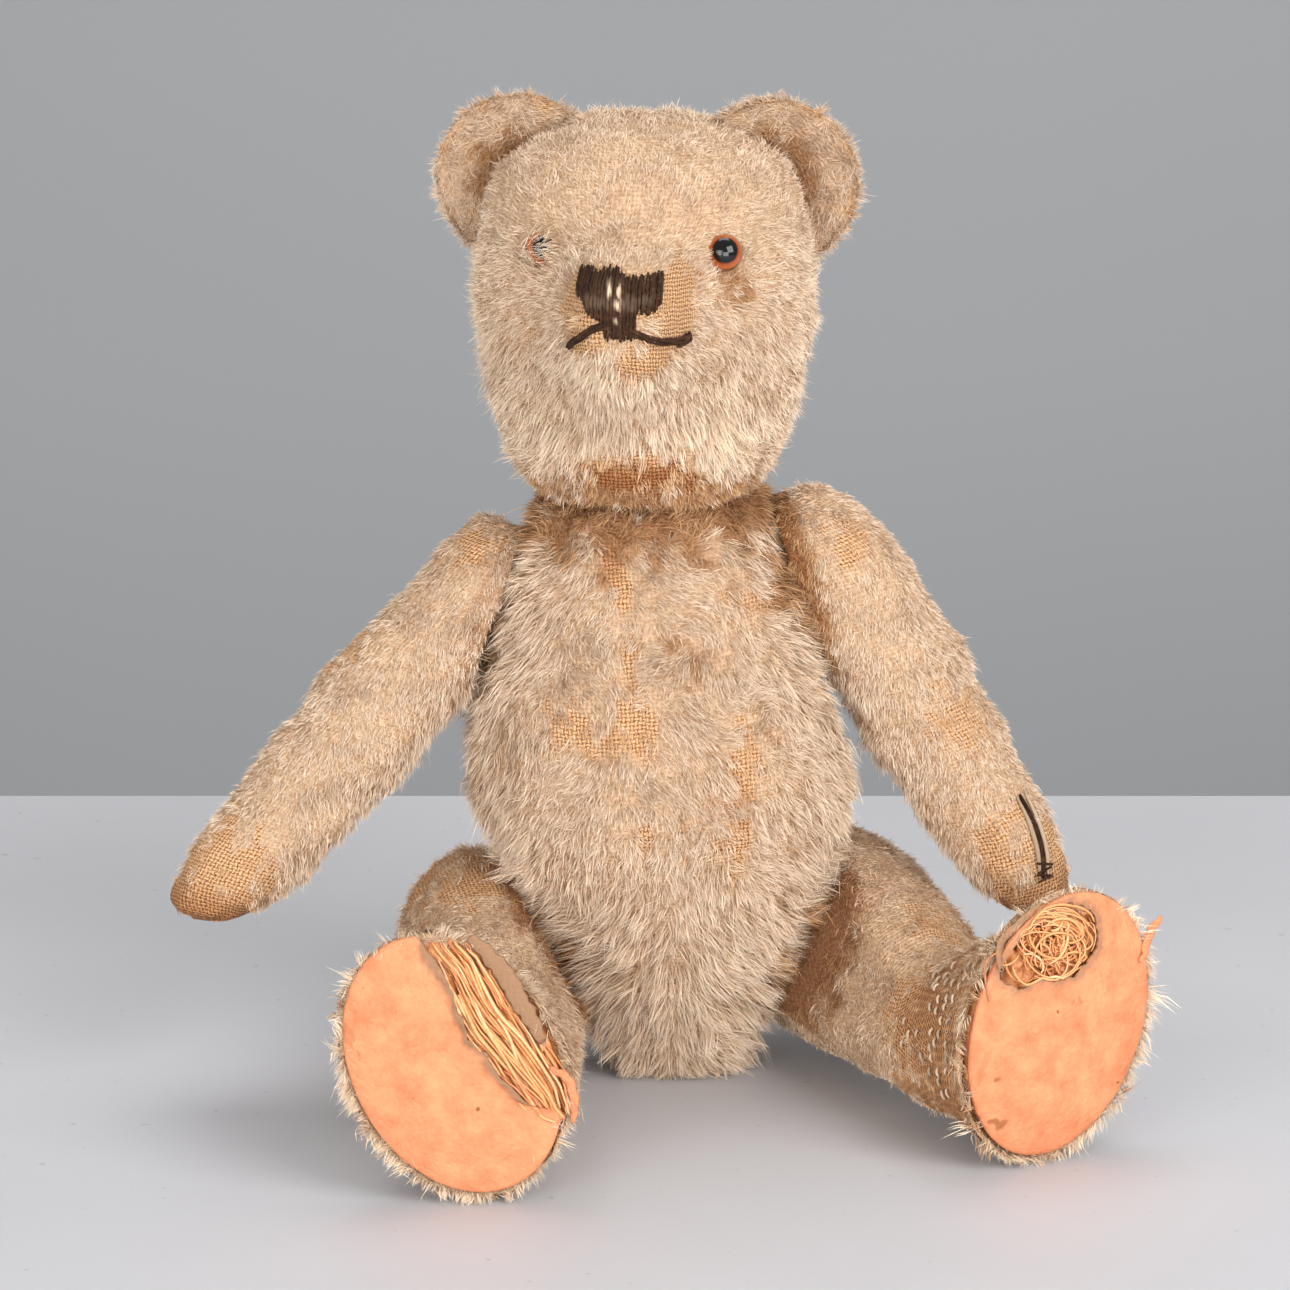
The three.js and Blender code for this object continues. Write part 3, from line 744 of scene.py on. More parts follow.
# ---------------------------------------------------------------------------------------------
# Head: the same plush over a hard stuffing, in side panels and a gusset from nose to neck. The
# muzzle is drawn forward and worn bare round the nose; the forehead is rubbed to a velvet, the
# cheeks are fuller and the jowls hang in pale tufts.
# ---------------------------------------------------------------------------------------------
HEAD_TURN = math.radians(-6)
HEAD_DEPTH = 0.93
MUZZLE_RISE = math.radians(9)
MUZZLE_HALF_WIDTH, MUZZLE_HALF_HEIGHT, MUZZLE_LENGTH, MUZZLE_BASE = 10.5, 12, 20, 28
HEAD_OUTLINE = [
    [0, -3],
    [17, -1],
    [22, 5],
    [25.5, 16],
    [28, 30],
    [27.5, 43],
    [24, 53],
    [14, 60],
    [0, 62.5],
]
NOSE_TIP = np.array([0.0, -45.0, 36.0])


def head_pattern(turn, t):
    """The outline turned round Z, with its columns closer together in front, and its front drawn
    forward round the muzzle's axis by a bell of the distance from it."""
    outline = through(HEAD_OUTLINE, t)
    r, z = np.abs(outline[..., 0]), outline[..., 1]
    angle = turn + 0.4 * np.sin(turn)
    points = np.stack([r * np.sin(angle), HEAD_DEPTH * r * np.cos(angle), z], -1)
    ahead = np.array([0, -math.cos(MUZZLE_RISE), math.sin(MUZZLE_RISE)])
    across = np.array([0, math.sin(MUZZLE_RISE), math.cos(MUZZLE_RISE)])
    height = points @ across - MUZZLE_BASE * across[2]
    far = np.hypot(points[..., 0] / MUZZLE_HALF_WIDTH, height / MUZZLE_HALF_HEIGHT)
    bell = np.where(points[..., 1] < 0, MUZZLE_LENGTH * np.exp(-0.69 * far**3.5), 0)
    return points + bell[..., None] * ahead


def turned_about_z(angle):
    """The turn by an angle round Z."""
    c, s = math.cos(angle), math.sin(angle)
    return np.array([[c, -s, 0], [s, c, 0], [0, 0, 1]])


neck_place = joint_place("neck", REACH["neck"])[1]
NECK_RADIUS = 15
head_flats = [(DOWN, -JOINT_GAP, np.zeros(3), NECK_RADIUS)]
head = cover(
    head_pattern, 128, 96, head_flats, lumps=0.25, turn=turned_about_z(HEAD_TURN), origin=neck_place
)


HEAD_BARE = [
    (-7.5, -40, 38, 2.6, 9, 3.4, 0.9),
    (-6, -42, 33.5, 3.2, 9, 3, 0.8),
    (9.3, -37, 39, 2.8, 9, 4.5, 0.9),
    (8, -38, 34.8, 3.8, 9, 3, 0.85),
    (4.4, -42, 29.8, 4.2, 9, 2.6, 0.95),
    (1.3, -20, 7.2, 10, 9, 4.5, 0.6),
    (-13, -21, 30, 5, 8, 4, 0.25),
]
# An olive stain on the cheek, and painted shade under the chin.
HEAD_STAINS_AND_SHADE = [(17.2, -19.6, 37.6, 3, 5, 3, 0.5), (1, -19, 4.5, 14, 9, 4, 0.8)]
CHIN_TUFTS = [(-2.4, -40, 28.4, 3.4, 9, 3.6, 1.0), (3, -38, 24, 3, 9, 2.6, 1.0)]
JOWL_TUFTS = [(-12.6, -18, 12, 8, 9, 6, 1.0), (14, -18, 12.6, 8, 9, 6, 1.0)]
NOSE_OUTLINE_TOP = [
    [-6.6, 42.2],
    [-5.5, 42.9],
    [-3, 42.8],
    [-2.6, 43.4],
    [-0.3, 43.5],
    [0.4, 42.8],
    [6.5, 42.2],
]
NOSE_OUTLINE_FOOT = [
    [-6.6, 39.4],
    [-4.6, 38.8],
    [-3.6, 37.2],
    [-2.2, 36.3],
    [-1.7, 35.8],
    [-1.5, 33.8],
    [3.1, 33.7],
    [3.3, 37.3],
    [5.6, 37.2],
    [6.5, 38.6],
]
MOUTH_LEFT = [[-0.4, 35.9], [-2.4, 35.6], [-4.8, 34.0], [-6.6, 32.4], [-7.8, 30.9]]
MOUTH_RIGHT = [[0.4, 35.9], [2.8, 34.7], [5.4, 33.2], [7.6, 32.1], [9.0, 31.6], [9.8, 31.9]]
EYE_RADIUS, EYE_X, EYE_Z = 3, 15.2, 43
HALF_WIDTH_AT_EYES = 27.4
EYE_SUNK = {-1: 1.9, 1: 1.0}  # how deep the plush has let the middle of each ball sink
EYE_AXIS = np.array([0.5, -0.84, 0.18]) / math.sqrt(0.5**2 + 0.84**2 + 0.18**2)


def eye_middle(side):
    """The middle of an eye's ball, on the head's outline and sunk into it."""
    y = -HEAD_DEPTH * math.sqrt(HALF_WIDTH_AT_EYES**2 - EYE_X**2)
    return np.array([side * EYE_X, y, EYE_Z]) - EYE_SUNK[side] * EYE_AXIS * (side, 1, 1)


def under_stitches(points):
    """1 where the nose or the mouth is stitched over the cover, which has no pile there."""
    x, y, z = points[..., 0], points[..., 1], points[..., 2]
    top, foot = (np.interp(x, *np.transpose(edge)) for edge in (NOSE_OUTLINE_TOP, NOSE_OUTLINE_FOOT))
    nose = (np.abs(x) < 6.7) & (z < top + 0.3) & (z > foot - 0.3)
    line = np.array(MOUTH_LEFT[::-1] + MOUTH_RIGHT)
    mouth = (np.abs(z - np.interp(x, *line.T)) < 0.9) & (x > -8) & (x < 10.4)
    return ((nose | mouth) & (y < -28)).astype(float)


def head_coat(points, normals):
    """Velvet on the forehead, fuller on the cheeks, long and pale on the jowls, sweeping back
    from the nose and down at the sides."""
    x, y, z = points[..., 0], points[..., 1], points[..., 2]
    face = smoothly(-y, 8, 22)
    forehead = smoothly(z, 38, 46) * smoothly(-y, -8, 6)
    cheek = (1 - smoothly(z, 26, 40)) * smoothly(z, 8, 16)
    jowl = face * (1 - smoothly(z, 13, 22)) * smoothly(z, 2, 8)
    under = 1 - smoothly(z + 1.5 * wander(points, 6, 32), 2.5, 7.5)
    stitched = under_stitches(points)
    bare = np.clip(np.maximum(spots(points, HEAD_BARE, 0.3), 0.6 * stitched), 0, 0.97)
    # Painted shade: browner on the underside of the head, where it sits on the torso, and under the chin; the
    # stain on the cheek is real.
    soil = np.maximum(0.6 * under, spots(points, HEAD_STAINS_AND_SHADE))
    chin = spots(points, CHIN_TUFTS)
    tuft = spots(points, JOWL_TUFTS, 0.5)
    length = 2.1 - 0.5 * forehead + 0.6 * cheek + 1.3 * jowl - 0.3 * under + 0.9 * chin + 0.8 * tuft
    length = length + 0.25 * wander(points, 9, 31)
    weight = (1 - bare) ** 1.5 * (1 - stitched)
    away = unit(points - NOSE_TIP)
    swept = np.array([0.0, 0.8, -0.1])
    flow = face[..., None] * away + (1 - face)[..., None] * swept
    flow = flow + (cheek + 1.2 * jowl)[..., None] * DOWN
    flow = flow + 0.35 * swirl(points, 12, 33)
    over = np.zeros(x.shape)
    for side, hidden, clear in ((-1, 1.0, 1.9), (1, 0.3, 2.4)):
        from_eye = points - eye_middle(side)
        far = np.linalg.norm(from_eye, axis=-1)
        weight = weight * smoothly(far, clear, clear + 0.4)
        below = 0.5 - 0.5 * unit(from_eye) @ unit(np.array([0.6, 0.0, 0.8]))
        near = (1 - smoothly(far, 3.6, 5.5)) * np.maximum(hidden, smoothly(below, 0.5, 0.75))
        flow = flow - (2.6 * near)[..., None] * unit(from_eye) * (1, 0, 1)
        over = over + near * hidden
        length = length + near * (0.4 + 2.2 * hidden)
    length = np.maximum(length * (1 - 0.6 * bare), 0.5)
    kind = np.where(soil + 0.2 * wander(points, 4, 38) > 0.5, SOILED_AND_SHADED, FADED)
    kind = np.where(bare > 0.3, RUBBED, kind)
    kind = np.where((chin > 0.4) | (tuft + 0.3 * wander(points, 3, 39) > 0.7), CREAM, kind)
    return {
        "bare": bare,
        "soil": soil,
        "weight": weight / length**0.5,
        "length": length,
        "lift": 0.45 - 0.15 * forehead + 0.1 * wander(points, 8, 36) + 0.25 * over,
        "flow": flow,
        "tone": 0.60 + 0.15 * wander(points, 8, 37) + 0.08 * jowl - 0.25 * soil - 0.16 * forehead,
        "kind": kind,
        "pull": 0.15 + 0.45 * np.maximum(jowl, chin),
    }


sew("head_plush", head, head_coat, "head", backing, "head_skin", "head_stuffing")
pile("head_pile", head, head_coat, "head", 4600, 12, 111)
pile("head_undercoat", head, head_coat, "head", 9000, 8, 112, bent=False, width=0.17)


# ---------------------------------------------------------------------------------------------
# Ears: half discs of plush, front and back sewn together round the rim, cupped forward and sewn
# across the top corners of the head. The rims are worn to the weave.
# ---------------------------------------------------------------------------------------------
EAR_RADIUS, EAR_HALF_THICKNESS, EAR_CUP = 14.4, 2.8, 4.5
EAR_X, EAR_Y, EAR_Z = 20.5, 2, 50


def ear_pattern(turn, t):
    """A flattened ball with its poles in front and behind, bent back at its middle by a parabola:
    y = thickness * depth + cup * (1 - radius squared)."""
    polar = np.pi * t
    x, depth, z = np.sin(polar) * np.sin(turn), np.cos(polar), np.sin(polar) * np.cos(turn)
    y = EAR_HALF_THICKNESS * depth + EAR_CUP * (1 - x * x - z * z)
    return np.stack([EAR_RADIUS * x, y, EAR_RADIUS * z], -1)


def turned_about_y(angle):
    """The turn by an angle round Y."""
    c, s = math.cos(angle), math.sin(angle)
    return np.array([[c, 0, s], [0, 1, 0], [-s, 0, c]])


def ear_coat(points, normals):
    """Fluffy behind, thin and brown in the cup, worn to the weave on the rim."""
    x, y, z = points[..., 0], points[..., 1], points[..., 2]
    out = np.hypot(x, z) / EAR_RADIUS
    front = smoothly(-normals[..., 1], 0.0, 0.5)
    rim = smoothly(out, 0.80, 0.93)
    worn = smoothly(wander(points, 9, 41) + 0.5 * z / EAR_RADIUS, 0.1, 0.6)
    bare = np.clip(0.85 * rim * worn, 0, 0.95)
    soil = 0.7 * front * (1 - smoothly(out + 0.1 * wander(points, 5, 42), 0.35, 0.7))
    length = 2.4 - 0.5 * rim + 0.3 * (1 - front)
    outwards = np.stack([x, 0 * y, z], -1) / (1 + np.hypot(x, z))[..., None]
    flow = outwards * (0.4 + 0.6 * (1 - front))[..., None] + np.array([0, 0.2, 0])
    flow = flow + 0.3 * swirl(points, 6, 43)
    return {
        "bare": bare,
        "soil": soil,
        "weight": (1 - bare) / length**0.6,
        "length": length,
        "lift": 0.4 + 0.1 * wander(points, 5, 46),
        "flow": flow,
        "tone": 0.58 + 0.12 * wander(points, 6, 47) - 0.2 * soil,
        "kind": np.where(soil > 0.35, SOILED_AND_SHADED, np.where(bare > 0.4, RUBBED, FADED)),
        "pull": 0.3,
    }


for name, side in (("right", -1), ("left", 1)):
    turn = head["turn"] @ turned_about_y(side * math.pi / 4)
    middle = in_row(head, np.array([side * EAR_X, EAR_Y, EAR_Z]))
    ear = cover(ear_pattern, 48, 28, inset=0.7, lumps=0.3, turn=turn, origin=middle)
    sew(name + "_ear_plush", ear, ear_coat, "head", backing, name + "_ear")
    pile(name + "_ear_pile", ear, ear_coat, "head", 2400, 8, 121 + side, bent=False, width=0.18)


# ---------------------------------------------------------------------------------------------
# Arms: a plush tube each, round at the shoulder and tapering to a rounded paw with no pad. The
# pile lies towards the paw, hangs in tufts below, and is rubbed off the paw's end.
# ---------------------------------------------------------------------------------------------
ARM_LENGTH = 67
ARM = [
    [-14, 0, 0, 0],
    [-12.5, 7, 6.5, 0],
    [-4, 12.5, 11, 0],
    [10, 12.5, 11.8, 0],
    [28, 11.3, 11.2, 1],
    [45, 10, 10.2, 1],
    [57, 9.4, 9.2, -1],
    [ARM_LENGTH - 2, 6.2, 6, -2.5],
    [ARM_LENGTH, 0, 0, -3],
]
# How far an arm's middle stands off from the torso at the shoulder, and more for each millimetre
ARM_SET = {"right": (4, 0.38), "left": (7, 0.25)}


def limb_pattern(stations, up):
    """A limb along -Y of its joint: oval sections whose half height, half width and middle run
    through the stations' [distance, half height, half width, middle height, middle x]."""
    sizes = [[s, h, w] for s, h, w, _, _ in stations]
    middles = [[x, 0, m] for _, _, _, m, x in stations]

    def place(turn, t):
        size, middle = through(sizes, t), through(middles, t)
        s, h, w = np.moveaxis(size, -1, 0)
        h, w = np.maximum(h, 0), np.maximum(w, 0)
        x = middle[..., 0] - w * np.cos(turn)
        return np.stack([x, -s, up * middle[..., 2] + h * np.sin(turn)], -1)

    return place


def against_torso(radius):
    """The flat where a limb lies on the torso, with no pile within radius of its joint."""
    return [(np.array([-1.0, 0.0, 0.0]), -JOINT_GAP, np.zeros(3), radius)]


ARM_BARE = {
    "right": [
        (8.1, 7.7, -9.5, 4, 4, 5, 0.5),
        (21, -14.2, -2.7, 4, 6, 5, 0.4),
        (29.5, -56, -7, 9, 6, 9, 0.75),
        (26, -64, -7, 11, 5, 9, 0.9),
    ],
    "left": [
        (10.6, 4.2, 11.1, 3.5, 4, 5, 0.5),
        (19.3, -30.3, 8.1, 4, 5, 4, 0.45),
        (19.3, -54, 8.5, 3, 6, 6, 0.6),
        (27, -58, 7, 4, 9, 6, 0.8),
    ],
}
SLIT = np.array([[25.2, -46, 5.5], [25.9, -51, 7.3], [25.7, -56, 8.5], [24.8, -60, 9.0]])


def arm_coat_of(name, sag):
    """The coat of the arm whose own downward direction is sag."""

    def coat(points, normals):
        along = -points[..., 1] / ARM_LENGTH
        below = smoothly(normals @ sag, 0.1, 0.8)
        paw = smoothly(along, 0.84, 0.97)
        bare = np.maximum(0.8 * paw, spots(points, ARM_BARE[name]))
        bare = np.clip(bare * (1 + 0.2 * wander(points, 5, 51)), 0, 0.95)
        close = np.linalg.norm(points, axis=-1) + 2 * wander(points, 7, 50)
        # Painted shade in the crease against the torso, deeper for the left arm; the paw's end is really dirty.
        crease_shade = {"right": 0.4, "left": 0.9}[name]
        soil = crease_shade * (1 - smoothly(close, 14, 22)) * (1 - smoothly(points[..., 0], 2, 6))
        soil = np.maximum(soil, 0.62 * paw)
        weight = (1 - bare) ** 1.5
        if name == "left":
            for spot in through(SLIT, np.linspace(0, 1, 12)):
                weight = weight * smoothly(np.linalg.norm(points - spot, axis=-1), 1.2, 2.0)
        length = 1.8 + 1.4 * below * (1 - paw) + 0.35 * wander(points, 10, 52)
        length = np.maximum(length * (1 - 0.55 * bare), 0.6)
        flow = np.array([0, -1.0, 0]) + 0.5 * sag + 0.35 * swirl(points, 12, 53)
        return {
            "bare": bare,
            "soil": soil,
            "weight": weight / length**0.5,
            "length": length,
            "lift": 0.38 + 0.1 * wander(points, 8, 56),
            "flow": flow,
            "tone": 0.60 + 0.13 * wander(points, 8, 57) + 0.05 * below - 0.2 * soil,
            "kind": np.where(soil > 0.45, SOILED_AND_SHADED, np.where(bare > 0.3, RUBBED, FADED)),
            "pull": 0.3 + 0.35 * below,
        }

    return coat


arms = {}
for name, up in (("right", 1), ("left", -1)):
    joint = name + "_shoulder"
    turn, spot = joint_place(joint, REACH[joint])
    stand_off, splay = ARM_SET[name]
    stations = [[*station, max(2.5, stand_off + splay * station[0])] for station in ARM]
    arm = cover(limb_pattern(stations, up), 56, 64, against_torso(12), turn=turn, origin=spot)
    arms[name] = arm
    coat = arm_coat_of(name, DOWN @ turn)
    stuffed = [name + "_arm_skin", name + "_arm_stuffing"]
    sew(name + "_arm_plush", arm, coat, name + "_arm", backing, *stuffed)
    pile(name + "_arm_pile", arm, coat, name + "_arm", 2500, 12, 131 + up)
    pile(name + "_arm_undercoat", arm, coat, name + "_arm", 3400, 8, 135 + up, bent=False, width=0.17)


# ---------------------------------------------------------------------------------------------
# Legs: a round thigh, a slimmer ankle and a foot that stands up to a flat oval sole, open there
# under the felt pad, with the plush's edge turned in.
# ---------------------------------------------------------------------------------------------
LEG_LENGTH = 64
SOLE_HALF_WIDTH, SOLE_HALF_HEIGHT, SOLE_X, SOLE_Z = 16.4, 22.8, 16.6, 1.0
LEG = [
    [-19, 0, 0, 0, 9],
    [-17.5, 9, 9, 0, 9],
    [-10, 16.5, 14.5, 0, 9.5],
    [4, 18.5, 15.8, -0.5, 10],
    [24, 15.8, 14.5, -3, 10.8],
    [42, 13.5, 13.6, -6.5, 12],
    [54, 17, 15.4, -3.5, 14.4],
    [LEG_LENGTH, 23, 17.2, SOLE_Z - 0.5, SOLE_X - 0.1],
]
LIP = 0.86  # the share of the grid that runs to the rim; the rest is the turned-in edge
LEG_BARE = {
    "right": [(4.9, -11.8, -14.4, 6, 8, 6, 0.55), (14.4, 0.5, -16.1, 6, 7, 6, 0.65)],
    "left": [
        (0.7, -53, -4.5, 6, 9, 9, 0.9),
        (6, -54, -16.5, 7, 9, 7, 0.9),
        (9.5, -33.7, 7.8, 5, 6, 5, 0.4),
    ],
}


def leg_pattern(up):
    """The limb as far as the rim of the sole, then its edge turned in, and a floor inside. On the
    right foot's inner side, where the felt has come away, the turned-in edge lies open."""
    limb = limb_pattern(LEG, up)
    open_edge = 0.17 if up < 0 else 0

    def place(turn, t):
        points = limb(turn, np.minimum(t / LIP, 1))
        middle = np.array([SOLE_X, 0, up * SOLE_Z])
        steps = LIP + np.array([0, 0.02, 0.04, 0.08, 0.1, 1 - LIP])
        share = np.interp(t, steps, [1, 0.97, 0.95, 0.93, 0.9, 0])
        depth = np.interp(t, steps, [0, 0.1, 0.25, 0.7, 1.8, 2.4])
        inner = smoothly(np.cos(turn - 0.25), 0.2, 0.8) * open_edge
        share = share - inner * np.interp(t, steps, [0, 0.2, 0.5, 1, 1, 0])
        depth = depth - inner * 3 * np.interp(t, steps, [0, 1, 1.2, 1, 0, 0])
        across = middle + (points - middle) * share[..., None]
        inside = (t > LIP)[..., None]
        across = np.where(inside, across, points)
        across[..., 1] = np.where(t > LIP, -LEG_LENGTH + depth, points[..., 1])
        return across

    return place


def leg_coat_of(name, sag):
    """The coat of the leg whose own downward direction is sag."""

    def coat(points, normals):
        along = -points[..., 1] / LEG_LENGTH
        below = smoothly(normals @ sag, 0.1, 0.8)
        foot = smoothly(along, 0.7, 0.95)
        inside = smoothly(-normals[..., 1], 0.75, 0.95) * smoothly(along, 0.9, 0.99)
        bare = np.clip(spots(points, LEG_BARE[name]), 0, 0.95)
        darned = bare * smoothly(along, 0.62, 0.75)
        close = np.linalg.norm(points, axis=-1) + 2 * wander(points, 7, 60)
        # Painted shade: browner in the crease against the torso, close to the joint; inside the turned edge and on
        # the darning it is real dirt.
        soil = 0.8 * (1 - smoothly(close, 21, 27)) * (1 - smoothly(points[..., 0], 0.6, 3.5))
        soil = np.maximum(np.maximum(soil, 0.9 * inside), 0.55 * darned)
        rim = smoothly(along, 0.86, 0.97)
        length = 2.2 + 1.0 * foot + 0.4 * wander(points, 10, 62) - 0.9 * below + 0.5 * rim
        length = np.maximum(length * (1 - 0.55 * bare), 0.6)
        flow = np.array([0, -1.0, 0]) + 0.3 * sag + 0.35 * swirl(points, 12, 63)
        brown = soil + 0.2 * wander(points, 5, 68) > 0.5
        bleached = rim + 0.4 * wander(points, 6, 69) > 0.8
        return {
            "bare": bare,
            "soil": soil,
            "weight": (1 - bare) ** 1.5 * (1 - inside) / length**0.5,
            "length": length,
            "lift": 0.38 + 0.1 * wander(points, 8, 66),
            "flow": flow,
            # Painted light: the legs' pile is painted brighter than the rest of the bear's.
            "tone": 0.76 + 0.15 * wander(points, 8, 67) - 0.15 * soil,
            "kind": np.select([brown, bare > 0.3, bleached], [SOILED_AND_SHADED, RUBBED, CREAM], FADED),
            "pull": 0.2 + 0.3 * foot,
        }

    return coat


legs = {}
for name, up in (("right", -1), ("left", 1)):
    joint = name + "_hip"
    turn, spot = joint_place(joint, REACH[joint])
    leg = cover(leg_pattern(up), 72, 68, against_torso(17), turn=turn, origin=spot)
    legs[name] = leg
    coat = leg_coat_of(name, DOWN @ turn)
    sew(name + "_leg_plush", leg, coat, name + "_leg", backing, name + "_leg_skin")
    pile(name + "_leg_pile", leg, coat, name + "_leg", 3000, 12, 141 + up)
    pile(name + "_leg_undercoat", leg, coat, name + "_leg", 4000, 8, 145 + up, bent=False, width=0.17)


# ---------------------------------------------------------------------------------------------
# Eyes: balls of brown glass with a black pupil painted behind them; their wire shanks through the plush into the
# head are not drawn. The right one has sunk in deeper, and pile nearly hides it.
# ---------------------------------------------------------------------------------------------
PUPIL_AXIS = unit(np.array([0.15, -0.92, 0.35]))
PUPIL = 2.2  # along the glass from the middle of the pupil to its edge


def facing_out(points, faces):
    """The faces of a closed surface turned outwards, by the sign of its volume."""
    a, b, c, last = (points[[face[k] for face in faces]] for k in (0, 1, 2, -1))
    volume = np.sum(a * np.cross(b, c)) + np.sum(a * np.cross(c, last))
    return faces if volume > 0 else [face[::-1] for face in faces]


def capped(grid):
    """The points and faces of a closed surface, from a grid whose columns join up and whose first
    and last rows are each one point."""
    rows, columns = grid.shape[0] - 1, grid.shape[1]
    index = 1 + np.arange(rows - 1)[:, None] * columns + np.arange(columns)
    right = np.roll(index, -1, 1)
    quads = np.stack([index[:-1], right[:-1], right[1:], index[1:]], -1).reshape(-1, 4)
    first, last = np.zeros(columns, int), np.full(columns, 1 + (rows - 1) * columns)
    fans = [np.stack([first, right[0], index[0]], -1), np.stack([index[-1], right[-1], last], -1)]
    points = np.vstack([grid[:1, 0], grid[1:-1].reshape(-1, 3), grid[-1:, 0]])
    return points, facing_out(points, quads.tolist() + fans[0].tolist() + fans[1].tolist())


def eye_glass_material():
    """Polished glass over amber paint round a black pupil."""
    material, tree, shader = new_material("eye_glass", Roughness=0.08)
    shader.inputs["Specular IOR Level"].default_value = 0.15
    shader.inputs["Coat Weight"].default_value = 0.7
    shader.inputs["Coat Roughness"].default_value = 0.02
    ring = value_of(tree, "ring")
    streaks = noise(tree, own_place(tree), 1400.0, 2.0)
    out = maths(tree, "MULTIPLY_ADD", streaks, 0.25, maths(tree, "ADD", ring, -0.12))
    paint = ramp(
        tree,
        maths(tree, "DIVIDE", out, 4.0),
        [
            (0.0, (0.003, 0.002, 0.002)),
            ((PUPIL - 0.05) / 4, (0.004, 0.003, 0.003)),
            ((PUPIL + 0.05) / 4, (0.15, 0.030, 0.007)),
            (0.68, (0.40, 0.085, 0.018)),
            (0.85, (0.42, 0.110, 0.024)),
            (0.98, (0.10, 0.025, 0.008)),
        ],
    )
    plug(tree, shader.inputs["Base Color"], paint)
    return material


eye_glass = eye_glass_material()
for name, side in (("right", -1), ("left", 1)):
    axis = unit(PUPIL_AXIS * (side, 1, 1) + (0.22 - 0.22 * side, 0, 0))
    across = unit(np.cross(axis, (0, 0, 1.0)))
    upward = np.cross(across, axis)
    polar = np.concatenate([np.linspace(0, 0.58, 9), np.linspace(0.62, np.pi, 26)])[:, None, None]
    turn = np.linspace(0, 2 * np.pi, 48, endpoint=False)[:, None]
    ball = np.cos(polar) * axis + np.sin(polar) * (np.cos(turn) * across + np.sin(turn) * upward)
    points, faces = capped(eye_middle(side) + EYE_RADIUS * ball)
    ring = EYE_RADIUS * np.arccos(np.clip(unit(points - eye_middle(side)) @ axis, -1, 1))
    eye = write_mesh(name + "_eye_ball", in_row(head, points), faces, eye_glass)
    add_values(eye, ring=ring)
    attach(eye, "head")
    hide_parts(name + "_eye")


# ---------------------------------------------------------------------------------------------
# Nose and mouth: dark brown thread sewn over the plush, upright satin stitches close together for
# the nose with a stem below, and two slanting lines of doubled thread for the mouth. The nose is
# rubbed through to pale threads along its middle.
# ---------------------------------------------------------------------------------------------
def tubes(paths, facing, width, height, sides=6):
    """The points and faces of closed tubes, one for each path of [tube, step, xyz]. A tube's
    section is an oval, width across and height deep along the direction it faces."""
    along = unit(np.gradient(paths, axis=1))
    side = unit(np.cross(along, facing))
    out = np.cross(side, along)
    turn = np.arange(sides) * 2 * np.pi / sides
    width, height = (np.broadcast_to(v, paths.shape[:2])[..., None, None] for v in (width, height))
    section = width * np.cos(turn)[:, None] * side[:, :, None]
    section = section + height * np.sin(turn)[:, None] * out[:, :, None]
    points = (paths[:, :, None] + 0.5 * section).reshape(-1, 3)
    index = np.arange(len(points)).reshape(*paths.shape[:2], sides)
    after = np.roll(index, -1, 2)
    quads = np.stack([index[:, :-1], index[:, 1:], after[:, 1:], after[:, :-1]], -1).reshape(-1, 4)
    caps = np.concatenate([index[:, 0], index[:, -1, ::-1]])
    return points, facing_out(points, quads.tolist() + caps.tolist())


def on_cover(made, path, axis, proud):
    """A path laid on a cover: each point slides along the axis on to the side that faces it, to
    the mean of the tangent planes near it, and then stands proud along the normal."""
    faces = made["normals"] @ axis > 0.25
    spots_on, normals = made["points"][faces], made["normals"][faces]
    gap = path[..., None, :] - spots_on
    across = np.sum(gap**2, -1) - (gap @ axis) ** 2
    weight = np.exp((across.min(-1, keepdims=True) - across) / 1.2)
    weight /= weight.sum(-1, keepdims=True)
    slide = -np.sum(gap * normals, -1) / (normals @ axis)
    normal = unit(weight @ normals)
    return path + np.sum(weight * slide, -1)[..., None] * axis + np.asarray(proud)[..., None] * normal


def thread_material():
    """Cotton thread, dark brown, dull and a little fluffy, paler where it is worn through."""
    material, tree, shader = new_material("thread", Roughness=0.85)
    shader.inputs["Specular IOR Level"].default_value = 0.15
    place = own_place(tree)
    dark = ramp(
        tree,
        noise(tree, place, 900.0, 4.0),
        [(0.25, (0.012, 0.005, 0.003)), (0.55, (0.040, 0.017, 0.008)), (0.8, (0.12, 0.060, 0.030))],
    )
    toned = mixed(tree, value_of(tree, "tone"), dark, (0.085, 0.040, 0.020))
    colour = mixed(tree, value_of(tree, "worn"), toned, (0.74, 0.55, 0.38))
    plug(tree, shader.inputs["Base Color"], colour)
    raised(tree, shader, noise(tree, place, 2600.0, 2.0), 0.12)
    return material


thread = thread_material()
AHEAD = np.array([0.0, -1.0, 0.0])
rng = np.random.default_rng(201)
stitch_x = np.concatenate([np.linspace(-6.2, 6.2, 27), rng.uniform(-6.0, 6.2, 13)])
upper = np.arange(len(stitch_x)) >= 27
lean = 0.12 * rng.normal(size=len(stitch_x)) + 0.25 * upper * rng.normal(size=len(stitch_x))
t = np.linspace(0, 1, 14)
top = np.interp(stitch_x, *np.transpose(NOSE_OUTLINE_TOP)) + 0.12 * rng.normal(size=len(stitch_x))
foot = np.interp(stitch_x, *np.transpose(NOSE_OUTLINE_FOOT)) + 0.25 * rng.normal(size=len(stitch_x))
x = stitch_x[:, None] + lean[:, None] * (t - 0.5) + 0.05 * rng.normal(size=(len(stitch_x), len(t)))
z = top[:, None] + (foot - top)[:, None] * t
